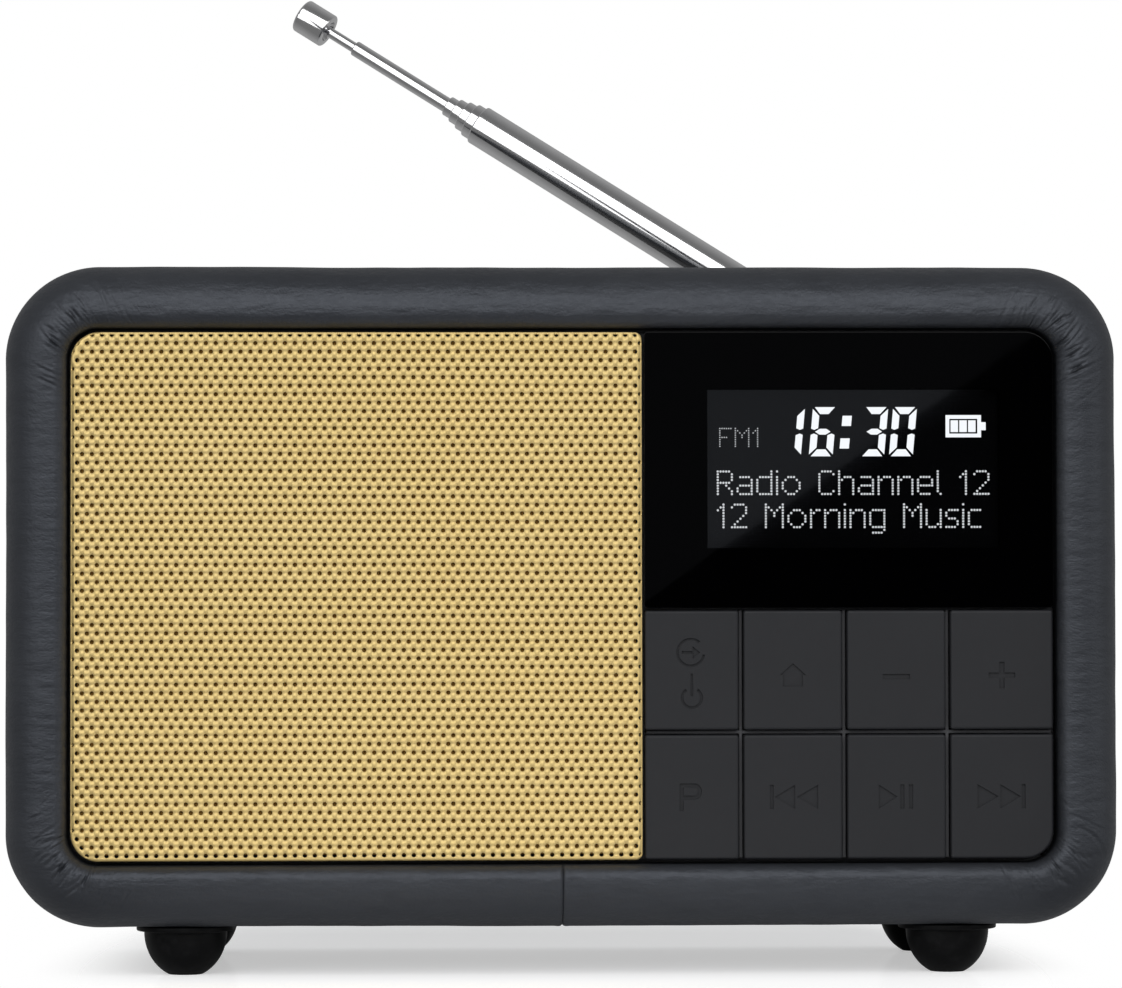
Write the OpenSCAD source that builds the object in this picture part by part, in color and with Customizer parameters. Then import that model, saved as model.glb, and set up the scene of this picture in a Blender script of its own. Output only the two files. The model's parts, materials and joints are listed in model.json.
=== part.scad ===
// Leather-wrapped portable radio with a perforated grille, eight keys and a telescopic antenna.
// Millimetres. +X is right and +Z is up for someone facing the radio, and the front faces -Y.
// The origin lies on the table plane, under the middle of the cabinet.

/* [Cabinet] */
// Width over the leather
body_w = 180; // [176:1:186]
// Height over the leather, without the feet
body_h = 106.8; // [105:0.2:110]
// Depth over the leather
body_d = 68; // [68:1:74]
// Outer corner radius seen from the front
corner_r = 15.3; // [15:0.1:16]
// Width of the padded rim round the front opening
rim_w = 10; // [9.5:0.1:10.5]
// Thickness of the leather
leather_t = 1; // [0.8:0.1:1.2]
// Thickness of the cabinet wall
wall_t = 3; // [2.5:0.1:3.2]

/* [Feet] */
// Height of a foot from the table to the cabinet
foot_h = 8; // [7:0.5:10]
// Radius of a foot's dome
foot_r = 6.75; // [6.5:0.25:7.5]
// Radius of the thin flange at the top of a foot
foot_flange_r = 8; // [8:0.25:9]
// Distance between the left and right feet
foot_pitch_x = 124.4; // [110:0.2:130]
// Distance between the front and rear feet
foot_pitch_y = 43; // [40:1:46]
// How far right of the cabinet's middle the feet are centred
foot_shift_x = 0.9; // [0:0.1:1.5]
// How far behind the cabinet's middle the feet are centred
foot_shift_y = 2; // [0:0.5:2.5]

/* [Front] */
// How far the grille, window and keys sit below the crest of the rim
recess = 2; // [1.5:0.5:3]
// Gap between the leather and the grille, window and keys
front_gap = 0.9; // [0.5:0.1:1]
// Width of the speaker grille
grille_w = 91.8; // [91.5:0.1:93]
// Distance between key columns
key_pitch_x = 16.7; // [16.5:0.1:17]
// Gap between neighbouring keys
key_gap = 0.8; // [0.6:0.1:1]
// How far a key travels when it is pressed
key_travel = 1; // [0.6:0.1:1]

/* [Antenna] */
// Radius of the outermost tube
tube_r = 3.65; // [3.65:0.05:3.8]
// Angle of the antenna above the horizontal, in the plane of the back
antenna_angle = 33; // [0:1:180]
// Angle the antenna leans back, away from the cabinet
antenna_lean = 11.5; // [0:0.5:80]
// How far the thinnest tube is pulled out of its neighbour
tube_pull = 18.9; // [0:0.1:60]
// How far the rod is pulled out of the thinnest tube
rod_pull = 5.4; // [0:0.1:60]

/* [Hidden] */
$fn = 48;

eps = 0.01;
gap = 0.2;                                // assembly gap between fitted parts
core_x = body_w / 2 - corner_r;           // corner centres, from the middle of the front
core_y = body_h / 2 - corner_r;
crest = body_d / 2;                       // front crest of the rim, in the front frame
face_z = crest - recess;                  // outer faces of grille, window and keys
bead_z = crest - 9;                       // back of the front bead; the baffle rests here
flange_t = 3;                             // thickness of the baffle's flange
platform_z = bead_z + 3;                  // front of the baffle's platform
baffle_back = bead_z - flange_t;
open_rho = corner_r - rim_w;              // rim opening, measured from the corner centres
wall_rho = corner_r - leather_t - wall_t; // inner face of the cabinet wall
panel_out = -crest + 2;                   // outer face of the rear panel
panel_in = panel_out + 3;                 // inner face of the rear panel
platform_x = core_x + open_rho - front_gap;
platform_y = core_y + open_rho - front_gap;

grille_x0 = -platform_x;
grille_x1 = grille_x0 + grille_w;
speaker_x = (grille_x0 + grille_x1) / 2;
part_x0 = grille_x1 + 0.4;                // left edge of the window and the keys

key_top_y = -2.4;                         // upper edge of the upper key row
key_mid_y = -22;                          // middle of the gap between the rows
key_face_t = face_z - platform_z - key_travel - 0.2;   // thickness of a key's cap
stem_r = 6;
screen = [25.7, 47.2];                    // lit area of the display, height and width
screen_at = [47.4, 20.5];                 // its middle

pcb_t = 1.6;
main_z = -20.6;                           // rear face of the main board
usb_at = [30, 9];
jack_at = [46, 9];
jack_bore_r = 1.8;
jack_depth = 14.5;                        // a full-length plug goes in this far
port_at = [-66, -27];
cell_r = 9.2;
cell_len = 65;

antenna_at = [73, 30.15];                 // swivel axis, in the front frame
hinge_y = crest + 5.5;                    // depth of the hinge pin behind the middle
tube_start = 6.2;                         // foot of the barrel, from the hinge pin
barrel_end = 104.2;
tube_wall = 0.3;
tube_step = 0.45;                         // each tube's radius is this much less than its neighbour's
ring_step = 1.7;                          // how far each closed tube stands out of its neighbour
collar_len = 6;
tip_r = 3.15;
tip_len = 6;

// ---- helpers ----

function arc(cx, cy, rx, ry, from, to, n = 8) =
    [for (i = [0:n]) let (a = from + (to - from) * i / n) [cx + rx * cos(a), cy + ry * sin(a)]];

function reversed(points) = [for (i = [len(points) - 1:-1:0]) points[i]];

// Rectangle with four corner radii, given as [bottom left, bottom right, top right, top left].
function rounded(x0, y0, x1, y1, r) = concat(
    arc(x0 + r[0], y0 + r[0], r[0], r[0], 180, 270),
    arc(x1 - r[1], y0 + r[1], r[1], r[1], 270, 360),
    arc(x1 - r[2], y1 - r[2], r[2], r[2], 0, 90),
    arc(x0 + r[3], y1 - r[3], r[3], r[3], 90, 180));

// A plate in the front frame between two depths.
module plate(x0, y0, x1, y1, r, z0, z1)
    translate([0, 0, z0]) linear_extrude(z1 - z0) polygon(rounded(x0, y0, x1, y1, r));

// A plate centred on the cabinet that follows its corners at the distance rho.
module case_plate(rho, z0, z1) {
    x = core_x + rho;
    y = core_y + rho;
    plate(-x, -y, x, y, [rho, rho, rho, rho], z0, z1);
}

module box(x0, y0, z0, x1, y1, z1) translate([x0, y0, z0]) cube([x1 - x0, y1 - y0, z1 - z0]);

module at(p, z = 0) translate([p[0], p[1], z]) children();

// Front frame: x right, y up, z towards the user, from the middle of the cabinet.
module front_frame() translate([0, 0, foot_h + body_h / 2]) rotate([90, 0, 0]) children();

// Sweeps a profile, x outwards from the corner centres and y in depth, round the cabinet.
module around_case() {
    for (i = [0:3]) {
        long = i % 2 == 0 ? core_y : core_x;
        out = i % 2 == 0 ? core_x : core_y;
        rotate([0, 0, 90 * i]) {
            translate([out, long, 0]) rotate([90, 0, 0]) linear_extrude(2 * long) children();
            translate([out, long, 0]) rotate_extrude(angle = 90) children();
        }
    }
}

module foot_places(rows = [-1, 1])
    for (sx = [-1, 1], sy = rows)
        translate([foot_shift_x + sx * foot_pitch_x / 2, foot_shift_y + sy * foot_pitch_y / 2, 0]) children();

// Pan-head screw: the underside of its head at z = 0, the shank along +z.
module screw(head_r, head_h, shank_r, length) {
    difference() {
        union() {
            translate([0, 0, -head_h]) cylinder(h = head_h / 2 + eps, r1 = head_r * 0.7, r2 = head_r);
            translate([0, 0, -head_h / 2]) cylinder(h = head_h / 2, r = head_r);
            translate([0, 0, -eps]) cylinder(h = length, r = shank_r);
        }
        for (a = [0, 90])
            rotate([0, 0, a]) translate([-head_r * 0.55, -0.3, -head_h - 1])
                cube([head_r * 1.1, 0.6, head_h * 0.6 + 1]);
    }
}

// ---- cabinet ----

crest_in = 2.3;                           // radius of the rim's inner edge
crest_rho = open_rho + crest_in + 0.2;    // where the outer curve of the rim starts
crest_deep = 8;                           // depth of the rim's outer curve
back_r = 4;                               // radius of the rear edge
lip_r = 1;                                // radius where the leather turns into the back

// Outer outline of the rim and wall, moved inwards by t.
function shell_outline(t) = concat(
    arc(open_rho + crest_in, crest - crest_in, crest_in - t, crest_in - t, 180, 90),
    arc(crest_rho, crest - crest_deep, corner_r - crest_rho - t, crest_deep - t, 90, 0, 12),
    arc(corner_r - back_r, back_r - crest, back_r - t, back_r - t, 0, -90));

module leather_profile() polygon(concat(
    [[open_rho, platform_z - 1]],
    shell_outline(0),
    arc(wall_rho, lip_r - crest, lip_r, lip_r, -90, -180, 4),
    [[wall_rho - lip_r, panel_in - 0.5], [wall_rho, panel_in - 0.5], [wall_rho, leather_t - crest]],
    reversed(shell_outline(leather_t)),
    [[open_rho + leather_t, platform_z - 1]]));

module core_profile() polygon(concat(
    [[open_rho + leather_t, bead_z]],
    shell_outline(leather_t),
    [[wall_rho, leather_t - crest], [wall_rho, bead_z]]));

boss_r = 4;
boss_len = 12;
boss_at = [[78, 41.5], [-78, 41.5], [78, -41.5], [-78, -41.5], [0, 44], [0, -44]];

// Screw post for the rear panel, with a rib that ties it to the wall.
module rear_boss(p) {
    at(p, panel_in) cylinder(h = boss_len, r = boss_r);
    side = p[0] > 0 ? 1 : -1;
    wall_x = side * (core_x + wall_rho + 1);
    wall_y = (p[1] > 0 ? 1 : -1) * (core_y + wall_rho + 1);
    if (p[0] != 0)
        box(min(p[0], wall_x), p[1] - 1.5, panel_in, max(p[0], wall_x), p[1] + 1.5, panel_in + boss_len);
    else
        box(-1.5, min(p[1], wall_y), panel_in, 1.5, max(p[1], wall_y), panel_in + boss_len);
}

baffle_rho = (open_rho + leather_t + wall_rho) / 2;
baffle_screw_at = concat(
    [for (s = [-1, 1]) [s * (core_x + baffle_rho), 0]],
    [for (sx = [-1, 1], sy = [-1, 1]) [sx * 50, sy * (core_y + baffle_rho)]]);

module cabinet_shell() color("dimgray") difference() {
    front_frame() difference() {
        union() {
            around_case() core_profile();
            for (p = boss_at) rear_boss(p);
        }
        for (p = boss_at) at(p, panel_in - 1) cylinder(h = 10, r = 1.3);
        for (p = baffle_screw_at) at(p, bead_z - 1) cylinder(h = 6, r = 1.3);
    }
    foot_places() translate([0, 0, foot_h - 1]) cylinder(h = 6, r = 1.3);
}

module leather_wrap() color([0.2, 0.21, 0.24]) difference() {
    front_frame() around_case() leather_profile();
    foot_places() translate([0, 0, foot_h - 1]) cylinder(h = leather_t + 1.5, r = 1.5);
}

// ---- feet ----

foot_pad_r = 2.8;
foot_dome_top = foot_h - 1.1;
foot_pad_sin = sqrt(1 - pow(foot_pad_r / foot_r, 2));
foot_recess_r = 2.2;

module foot() rotate_extrude() polygon(concat(
    [[foot_recess_r, 0]],
    arc(0, foot_dome_top, foot_r, foot_dome_top / foot_pad_sin, -asin(foot_pad_sin), 0, 10),
    [[foot_r, foot_h - 0.9], [foot_flange_r, foot_h - 0.9], [foot_flange_r, foot_h],
     [1.5, foot_h], [1.5, 4], [foot_recess_r, 4]]));

module front_feet() color([0.06, 0.06, 0.07]) foot_places([-1]) foot();
module rear_feet() color([0.06, 0.06, 0.07]) foot_places([1]) foot();
module foot_screws() color("silver") foot_places() translate([0, 0, 4]) screw(2, 1.5, 1.2, 8);

// ---- front baffle ----

pad_z = face_z - 2.1;                     // ledge behind the display window
pocket = [part_x0 + 0.4, key_mid_y - 20.2, platform_x - gap, key_top_y - 0.4];
mat_z = bead_z - 1;                       // back of the keypad mat
key_rows = [(key_top_y + key_mid_y) / 2 + 0.2, key_mid_y - 10.5];
key_right = platform_x;
key_extra = 0.4;                          // how much wider the last column's keys are
rib_t = key_gap - 0.3;                    // ribs between the keys
rib_z = face_z - 1.8;
function column_line(i) = i == 0 ? part_x0 - key_gap / 2
    : i == 4 ? key_right : key_right - key_extra - key_pitch_x * (4 - i);
function key_x(i) = (column_line(i) + column_line(i + 1)) / 2;
key_screw_at = [for (i = [1:3]) [column_line(i), key_mid_y]];

panel_w = screen[1] + 3.8;                // display glass
panel_h = screen[0] + 4.3;
display_w = 55;                           // display board
display_h = 39;
display_screw_at = [for (sx = [-1, 1], sy = [-1, 1])
    [screen_at[0] + sx * (display_w / 2 - 1.6), screen_at[1] + sy * (display_h / 2 - 1.8)]];
speaker_hole_r = 35.4;
speaker_screw_r = 40.5;
speaker_screw_a = [45, 135, 225, 315];

module around(p, w, h, z0, z1) box(p[0] - w / 2, p[1] - h / 2, z0, p[0] + w / 2, p[1] + h / 2, z1);

module front_baffle() color([0.05, 0.05, 0.05]) front_frame() difference() {
    union() {
        case_plate(wall_rho - 0.3, baffle_back, bead_z);
        case_plate(open_rho - front_gap, bead_z - eps, platform_z);
        plate(part_x0 + 0.3, key_top_y + 1.1, platform_x - 0.3, platform_y - 0.3,
              [0.5, 0.5, 4.4, 0.5], platform_z - eps, pad_z);
        for (i = [1:3]) box(column_line(i) - rib_t / 2, 0.3 - platform_y, platform_z - eps,
                            column_line(i) + rib_t / 2, key_top_y, rib_z);
        box(part_x0 + 0.3, key_mid_y - rib_t / 2, platform_z - eps, platform_x - 0.3, key_mid_y + rib_t / 2, rib_z);
    }
    at([speaker_x, 0], baffle_back - 1) cylinder(h = 8, r = speaker_hole_r);
    for (a = speaker_screw_a)
        translate([speaker_x + speaker_screw_r * cos(a), speaker_screw_r * sin(a), baffle_back - 1])
            cylinder(h = 5, r = 1.3);
    box(pocket[0], pocket[1], baffle_back - 1, pocket[2], pocket[3], mat_z + 1.2);
    for (i = [0:3], y = key_rows) at([key_x(i), y], baffle_back) cylinder(h = 10, r = stem_r + 0.1);
    for (p = key_screw_at) at(p, baffle_back) cylinder(h = 5.4, r = 0.9);
    around(screen_at, panel_w + 0.6, panel_h + 0.6, baffle_back, face_z);
    around(screen_at, display_w + 0.6, display_h + 0.6, baffle_back - 1, pad_z - 2.9);
    for (p = display_screw_at) at(p, pad_z - 3) cylinder(h = 2, r = 0.9);
    for (p = baffle_screw_at) at(p, baffle_back - 1) cylinder(h = 6, r = 1.7);
}

module baffle_screws() color("silver") front_frame()
    for (p = baffle_screw_at) at(p, baffle_back) screw(2.4, 1.6, 1.2, 7);

// ---- grille, window, display ----

grille_t = 0.8;
grille_corners = [4.6, 1.2, 1.2, 4.6];

module speaker_grille() color([0.83, 0.71, 0.42]) front_frame() difference() {
    plate(grille_x0, -platform_y, grille_x1, platform_y, grille_corners, platform_z + 0.05, face_z);
    plate(grille_x0 + grille_t, -platform_y + grille_t, grille_x1 - grille_t, platform_y - grille_t,
          [3.8, 0.4, 0.4, 3.8], platform_z - 1, face_z - grille_t);
}

module grille_cloth() color([0.03, 0.03, 0.03]) front_frame()
    plate(grille_x0 + 1, -platform_y + 1, grille_x1 - 1, platform_y - 1,
          [3.6, 0.3, 0.3, 3.6], face_z - 1.3, face_z - 0.9);

module display_window() color([0.01, 0.01, 0.015]) front_frame()
    plate(part_x0, key_top_y + 0.4, platform_x, platform_y, [0.4, 0.4, 4.6, 0.4], face_z - 2, face_z);

module display_panel() color([0.1, 0.1, 0.11]) front_frame()
    around(screen_at, panel_w, panel_h, face_z - 3.8, face_z - 2.2);

module display_board() color("darkgreen") front_frame() difference() {
    around(screen_at, display_w, display_h, pad_z - 2.95 - pcb_t, pad_z - 2.95);
    for (p = display_screw_at) at(p, pad_z - 6) cylinder(h = 5, r = 1.1);
}

// ---- keypad ----

icon_deep = 0.4;
icon_drop = -0.9;                         // the upper row's marks sit this far below the middle

module bar(x, y, w, h) translate([x - w / 2, y - h / 2]) square([w, h]);
module triangle(x, w, h) polygon([[x, h / 2], [x, -h / 2], [x + w, 0]]);
module ring2d(r, t, from, to) polygon(concat(
    arc(0, 0, r, r, from, to, 20), reversed(arc(0, 0, r - t, r - t, from, to, 20))));

module power_mark() {
    translate([0, 3.3]) {
        ring2d(2.3, 0.4, 50, 350);
        triangle(0.3, 1.2, 2);
        bar(-0.5, 0, 1.8, 0.5);
    }
    translate([0, -3.5]) {
        ring2d(1.8, 0.45, 125, 415);
        bar(0, 1.3, 0.45, 2);
    }
}

module home_mark() {
    polygon([[-2.1, 0.1], [0, 2], [2.1, 0.1]]);
    bar(0, -0.8, 3.2, 1.9);
}

module plus_mark() {
    bar(0, 0, 4.1, 0.8);
    bar(0, 0, 0.8, 4.1);
}

module preset_mark() {
    bar(-1.3, 0, 0.7, 4.4);
    difference() {
        polygon(concat([[-1.6, 2.2], [-1.6, -0.4]], arc(0.3, 0.9, 1.3, 1.3, -90, 90)));
        polygon(concat([[-0.95, 1.6], [-0.95, 0.2]], arc(0.3, 0.9, 0.7, 0.7, -90, 90)));
    }
}

module skip_mark() {
    triangle(-4, 3.4, 3.9);
    triangle(-0.2, 3.4, 3.9);
    bar(3.7, 0, 0.6, 3.9);
}

module play_mark() {
    triangle(-2.9, 3, 3.9);
    for (x = [1.1, 2.5]) bar(x, 0, 0.65, 3.9);
}

// One key: cap, stem and contact pill, with its mark sunk into the face. Rows count from the top.
module key(column, row, corner = 0.3) {
    x0 = column_line(column) + key_gap / 2;
    x1 = column == 3 ? key_right - 0.1 : column_line(column + 1) - key_gap / 2;
    y0 = row == 0 ? key_mid_y + key_gap / 2 : -platform_y + 0.1;
    y1 = row == 0 ? key_top_y : key_mid_y - key_gap / 2;
    color([0.19, 0.195, 0.21]) front_frame() difference() {
        union() {
            plate(x0, y0, x1, y1, [0.3, corner, 0.3, 0.3], face_z - key_face_t, face_z);
            at([key_x(column), key_rows[row]], mat_z + 1.2)
                cylinder(h = face_z - key_face_t - mat_z - 1.2 + eps, r = stem_r);
        }
        at([key_x(column), key_rows[row] + (row == 0 ? icon_drop : 0)], face_z - icon_deep)
            linear_extrude(1) children();
    }
}

module key_power() key(0, 0) translate([0, -icon_drop]) power_mark();
module key_home() key(1, 0) home_mark();
module key_minus() key(2, 0) bar(0, 0, 4.4, 0.8);
module key_plus() key(3, 0) plus_mark();
module key_preset() key(0, 1) preset_mark();
module key_previous() key(1, 1) mirror([1, 0]) skip_mark();
module key_play_pause() key(2, 1) play_mark();
module key_next() key(3, 1, 4.5) skip_mark();

module keypad_mat() color([0.15, 0.15, 0.16]) front_frame() difference() {
    box(pocket[0] + gap, pocket[1] + gap, mat_z, pocket[2] - gap, pocket[3] - gap, mat_z + 1.15);
    for (i = [0:3], y = key_rows) at([key_x(i), y], mat_z - 1) cylinder(h = 4, r = stem_r + 0.3);
    for (p = key_screw_at) at(p, mat_z - 1) cylinder(h = 4, r = 1.1);
}

module keypad_board() color("darkgreen") front_frame() difference() {
    box(pocket[0] + gap, pocket[1] + gap, mat_z - pcb_t - 0.05, pocket[2] - gap, pocket[3] - gap, mat_z - 0.05);
    for (p = key_screw_at) at(p, mat_z - 4) cylinder(h = 8, r = 1.1);
}

main_screw_at = [[17, 3], [79, 3], [17, 33], [58, 33]];

module board_screws() color("silver") front_frame() {
    for (p = key_screw_at) at(p, mat_z - pcb_t - 0.05) screw(1.8, 1.2, 0.85, 5);
    for (p = display_screw_at) at(p, pad_z - 2.95 - pcb_t) screw(1.8, 1.2, 0.85, 3.2);
    for (p = main_screw_at) at(p, main_z + pcb_t) rotate([180, 0, 0]) screw(2, 1.4, 1.1, 6);
}

// ---- speaker ----
// Profiles hold the radius and the depth behind the baffle.

module turned(points) front_frame() at([speaker_x, 0], baffle_back) rotate_extrude() polygon(points);

module speaker_gasket() color([0.1, 0.1, 0.1])
    turned([[35.2, -0.8], [39.2, -0.8], [39.2, 0], [35.2, 0]]);

module speaker_basket() color("gray") front_frame() at([speaker_x, 0], baffle_back) difference() {
    union() {
        rotate_extrude() polygon([[39.5, -0.8], [39.5, -2], [36.2, -2], [25.4, -23.2], [12, -23.2],
                                  [12, -22], [24.6, -22], [34.6, -2.4], [34.6, -0.8]]);
        for (a = speaker_screw_a) rotate([0, 0, a]) translate([speaker_screw_r, 0, -2]) cylinder(h = 1.2, r = 4);
    }
    for (a = speaker_screw_a) rotate([0, 0, a]) translate([speaker_screw_r, 0, -3]) cylinder(h = 3, r = 1.7);
    for (a = [0:60:300]) rotate([0, 0, a + 30]) translate([22, -8, -18]) cube([16, 16, 13]);
}

roll_r = 31.1;                            // middle of the surround's half roll
module speaker_surround() color([0.08, 0.08, 0.08]) turned(concat(
    [[35, -0.8], [35, -0.3]], arc(roll_r, -0.3, 1.7, 1.7, 0, 180, 10), [[28, -0.3], [28, -0.8]],
    arc(roll_r, -0.8, 1.2, 1.7, 180, 0, 10)));

module speaker_cone() color([0.12, 0.12, 0.12]) turned(
    [[29.2, -0.85], [29.2, -1.4], [28.2, -1.4], [10.9, -14.6], [10.3, -14.6], [10.3, -13.6], [27.6, -0.85]]);

module speaker_dust_cap() color([0.1, 0.1, 0.1]) turned(concat(
    arc(0, -11.7, 12.4, 4, 0, 90), arc(0, -11.7, 11.9, 3.5, 90, 0)));

module voice_coil() color([0.75, 0.45, 0.2]) turned(
    [[9.9, -28], [10.7, -28], [10.7, -23.8], [10.2, -23.8], [10.2, -13.8], [9.9, -13.8]]);

spider_waves = 4;
function spider_line(shift) =
    [for (i = [0:24]) [10.4 + 11.6 * i / 24, -21 + 0.5 * sin(360 * spider_waves * i / 24) + shift]];
module speaker_spider() color([0.7, 0.5, 0.25]) turned(concat(
    spider_line(0), [[22.4, -21.5], [24.2, -21.5], [24.2, -21.95], [22, -21.95]],
    reversed(spider_line(-0.4))));

module speaker_magnet() color([0.2, 0.2, 0.2])
    turned([[12.5, -37.2], [22.5, -37.2], [22.5, -27.25], [12.5, -27.25]]);
module speaker_top_plate() color("silver")
    turned([[11.1, -27.2], [22, -27.2], [22, -23.25], [11.1, -23.25]]);
module speaker_yoke() color("silver")
    turned([[0, -41.2], [21.5, -41.2], [21.5, -37.25], [9.5, -37.25], [9.5, -23.2], [0, -23.2]]);

module speaker_terminals() color("peru") front_frame() at([speaker_x, 0], baffle_back) {
    box(36.4, -5, -9, 37.6, 5, -2.05);
    for (y = [-3, 3]) box(37.5, y - 1, -8, 41, y + 1, -7.4);
}

module speaker_screws() color("silver") front_frame()
    for (a = speaker_screw_a)
        translate([speaker_x + speaker_screw_r * cos(a), speaker_screw_r * sin(a), baffle_back - 2.05])
            screw(2.6, 1.8, 1.2, 5.5);

// ---- electronics ----

module main_board() color("darkgreen") front_frame() difference() {
    box(14, 0, main_z, 82, 36, main_z + pcb_t);
    for (p = main_screw_at) at(p, main_z - 1) cylinder(h = 4, r = 1.3);
    around(jack_at, 7, 7, main_z - 1, main_z + pcb_t + 1);
}

module tuner_shield() color("silver") front_frame()
    difference() {
        box(62, 14, main_z + pcb_t + 0.05, 80, 32, main_z + pcb_t + 3);
        box(62.4, 14.4, main_z + pcb_t - 1, 79.6, 31.6, main_z + pcb_t + 2.6);
    }

module board_components() color([0.1, 0.1, 0.12]) front_frame() {
    top = main_z + pcb_t + 0.05;
    for (x = [23, 33, 43]) at([x, 30], top) cylinder(h = 10, r = 4);
    box(25, 17, top, 32, 24, top + 1.2);
    box(38, 15, top, 48, 24, top + 1.4);
    for (x = [24, 34]) box(x, 5, top, x + 6, 11, top + 3);
    box(50, 6, top, 64, 11, top + 5);
}

module usb_socket() color("silver") front_frame() difference() {
    plate(usb_at[0] - 4.5, usb_at[1] - 1.65, usb_at[0] + 4.5, usb_at[1] + 1.65,
          [1.4, 1.4, 1.4, 1.4], panel_out + 0.2, main_z - 0.05);
    difference() {
        plate(usb_at[0] - 4.2, usb_at[1] - 1.35, usb_at[0] + 4.2, usb_at[1] + 1.35,
              [1.2, 1.2, 1.2, 1.2], panel_out - 1, main_z - 1.5);
        around(usb_at, 6.6, 0.7, panel_out + 1.2, main_z - 1);
    }
}

module audio_jack() color([0.08, 0.08, 0.08]) front_frame() at(jack_at) difference() {
    union() {
        box(-3.2, -3.2, panel_in + 0.3, 3.2, 3.2, panel_out + jack_depth + 1);
        translate([0, 0, panel_out]) cylinder(h = 4, r = 2.9);
    }
    translate([0, 0, panel_out - 1]) cylinder(h = jack_depth + 1, r = jack_bore_r);
}

cell_y = [-core_y - wall_rho + 3.1 + cell_r, -16];
cell_z = -4;
cell_x0 = 8;

module battery_cells() color([0.15, 0.35, 0.6]) front_frame()
    for (y = cell_y) translate([cell_x0, y, cell_z]) rotate([0, 90, 0]) {
        cylinder(h = cell_len, r = cell_r);
        translate([0, 0, cell_len - eps]) cylinder(h = 0.4, r = 3);
    }

module battery_holder() color([0.12, 0.12, 0.12]) front_frame() {
    floor_y = -core_y - wall_rho + 0.05;
    x1 = cell_x0 + cell_len + 0.5;
    box(cell_x0 - 2.5, floor_y, -12, x1 + 2, floor_y + 2.4, 4);
    for (x = [cell_x0 - 2.5, x1]) box(x, floor_y, -12, x + 2, -8, 4);
    box(cell_x0 - 2.5, -27.2, -12, x1 + 2, -25.7, 4);
}

// Round wire through a list of points, slightly swollen at its bends.
module wire(points, r) {
    for (i = [0:len(points) - 2]) {
        step = points[i + 1] - points[i];
        translate(points[i]) rotate([0, acos(step[2] / norm(step)), atan2(step[1], step[0])])
            cylinder(h = norm(step), r = r, $fn = 16);
    }
    for (p = points) translate(p) sphere(r * 1.15, $fn = 16);
}

// Flat cable with an S bend, from one depth and height to another.
module ribbon(x, w, z0, y0, z1, y1) {
    path = [for (i = [0:12]) let (u = i / 12) [z0 + (z1 - z0) * u, y0 + (y1 - y0) * (1 - cos(180 * u)) / 2]];
    translate([x, 0, 0]) rotate([0, -90, 0])
        linear_extrude(w, center = true) polygon(concat(path, reversed([for (p = path) p + [0, 0.5]])));
}

module wiring() color([0.6, 0.1, 0.1]) front_frame() {
    for (y = [-3, 3])
        wire([[speaker_x + 41.8, y, 14.3], [12, y + 6, -4], [20 + y, 21, -10], [20 + y, 21, main_z + 2.7]], 0.6);
    for (y = [0, 4])
        wire([[76.4, -16 + y, cell_z], [82.5, -6 + y, -10], [58, 14 + y, -13], [58, 14 + y, main_z + 2.7]], 0.6);
    wire([[72, 12, main_z + 2.7], [84, 12, main_z + 4], [84, 24, main_z - 3], [79.8, 30.2, -25.8]], 0.6);
    ribbon(51.5, 8, pad_z - 5.2, 30, main_z + 2, 29.5);
    ribbon(56, 12, mat_z - 2.3, -8, main_z + 7, 8);
}

// ---- rear panel ----

reset_at = [58, 9];
panel_rho = wall_rho - lip_r - gap;

module rear_panel() color([0.07, 0.07, 0.07]) front_frame() difference() {
    union() {
        case_plate(panel_rho, panel_out, panel_in);
        for (p = main_screw_at) at(p, panel_in - eps) cylinder(h = main_z - panel_in, r = 3);
    }
    for (p = boss_at) at(p, panel_out - 1) {
        cylinder(h = 6, r = 1.7);
        cylinder(h = 2.5, r = 3.4);
    }
    for (p = main_screw_at) at(p, panel_in + 1) cylinder(h = 10, r = 1.15);
    at(port_at, panel_out - 1) cylinder(h = 6, r = 10.6);
    plate(usb_at[0] - 4.9, usb_at[1] - 2.05, usb_at[0] + 4.9, usb_at[1] + 2.05,
          [1.8, 1.8, 1.8, 1.8], panel_out - 1, panel_in + 1);
    at(jack_at, panel_out - 1) cylinder(h = 6, r = 3.1);
    at(reset_at, panel_out - 1) cylinder(h = 6, r = 0.8);
    at(antenna_at, panel_out - 1) cylinder(h = 6, r = 5);
}

module rear_screws() color("silver") front_frame()
    for (p = boss_at) at(p, panel_out + 1.45) screw(2.9, 1.4, 1.2, 9);

module bass_port() color([0.05, 0.05, 0.05]) front_frame() at(port_at, panel_out - 0.87)
    rotate_extrude() polygon(concat(
        arc(14, 0.8, 1.2, 0.8, 0, -90, 4), arc(12.5, 4.8, 4, 4.8, -90, -180, 8),
        [[8.5, 27], [10.4, 27], [10.4, 0.85], [15.2, 0.85]]));

// ---- antenna ----

antenna_z = foot_h + body_h / 2 + antenna_at[1];

// Swivel frame: the hinge pin at the origin, z along the antenna in the plane of the back.
module swivel_frame()
    translate([antenna_at[0], hinge_y, antenna_z]) rotate([0, antenna_angle - 90, 0]) children();

// Antenna frame: z along the tubes.
module antenna_frame() swivel_frame() rotate([-antenna_lean, 0, 0]) children();

// Turns z towards the back of the radio.
module rearwards() rotate([-90, 0, 0]) children();

base_top = -5;                            // outer face of the base, in the swivel frame
base_foot = -panel_out - hinge_y;         // outer face of the rear panel
stud_r = 3;

module antenna_base() color([0.07, 0.07, 0.07]) swivel_frame() rearwards() difference() {
    union() {
        translate([0, 0, base_foot]) cylinder(h = base_top - base_foot, r = 7);
        translate([0, 0, base_foot - 5]) cylinder(h = 5 + eps, r = 4.9);
    }
    translate([0, 0, base_foot - 6]) cylinder(h = 12, r = stud_r + 0.05);
}

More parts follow.
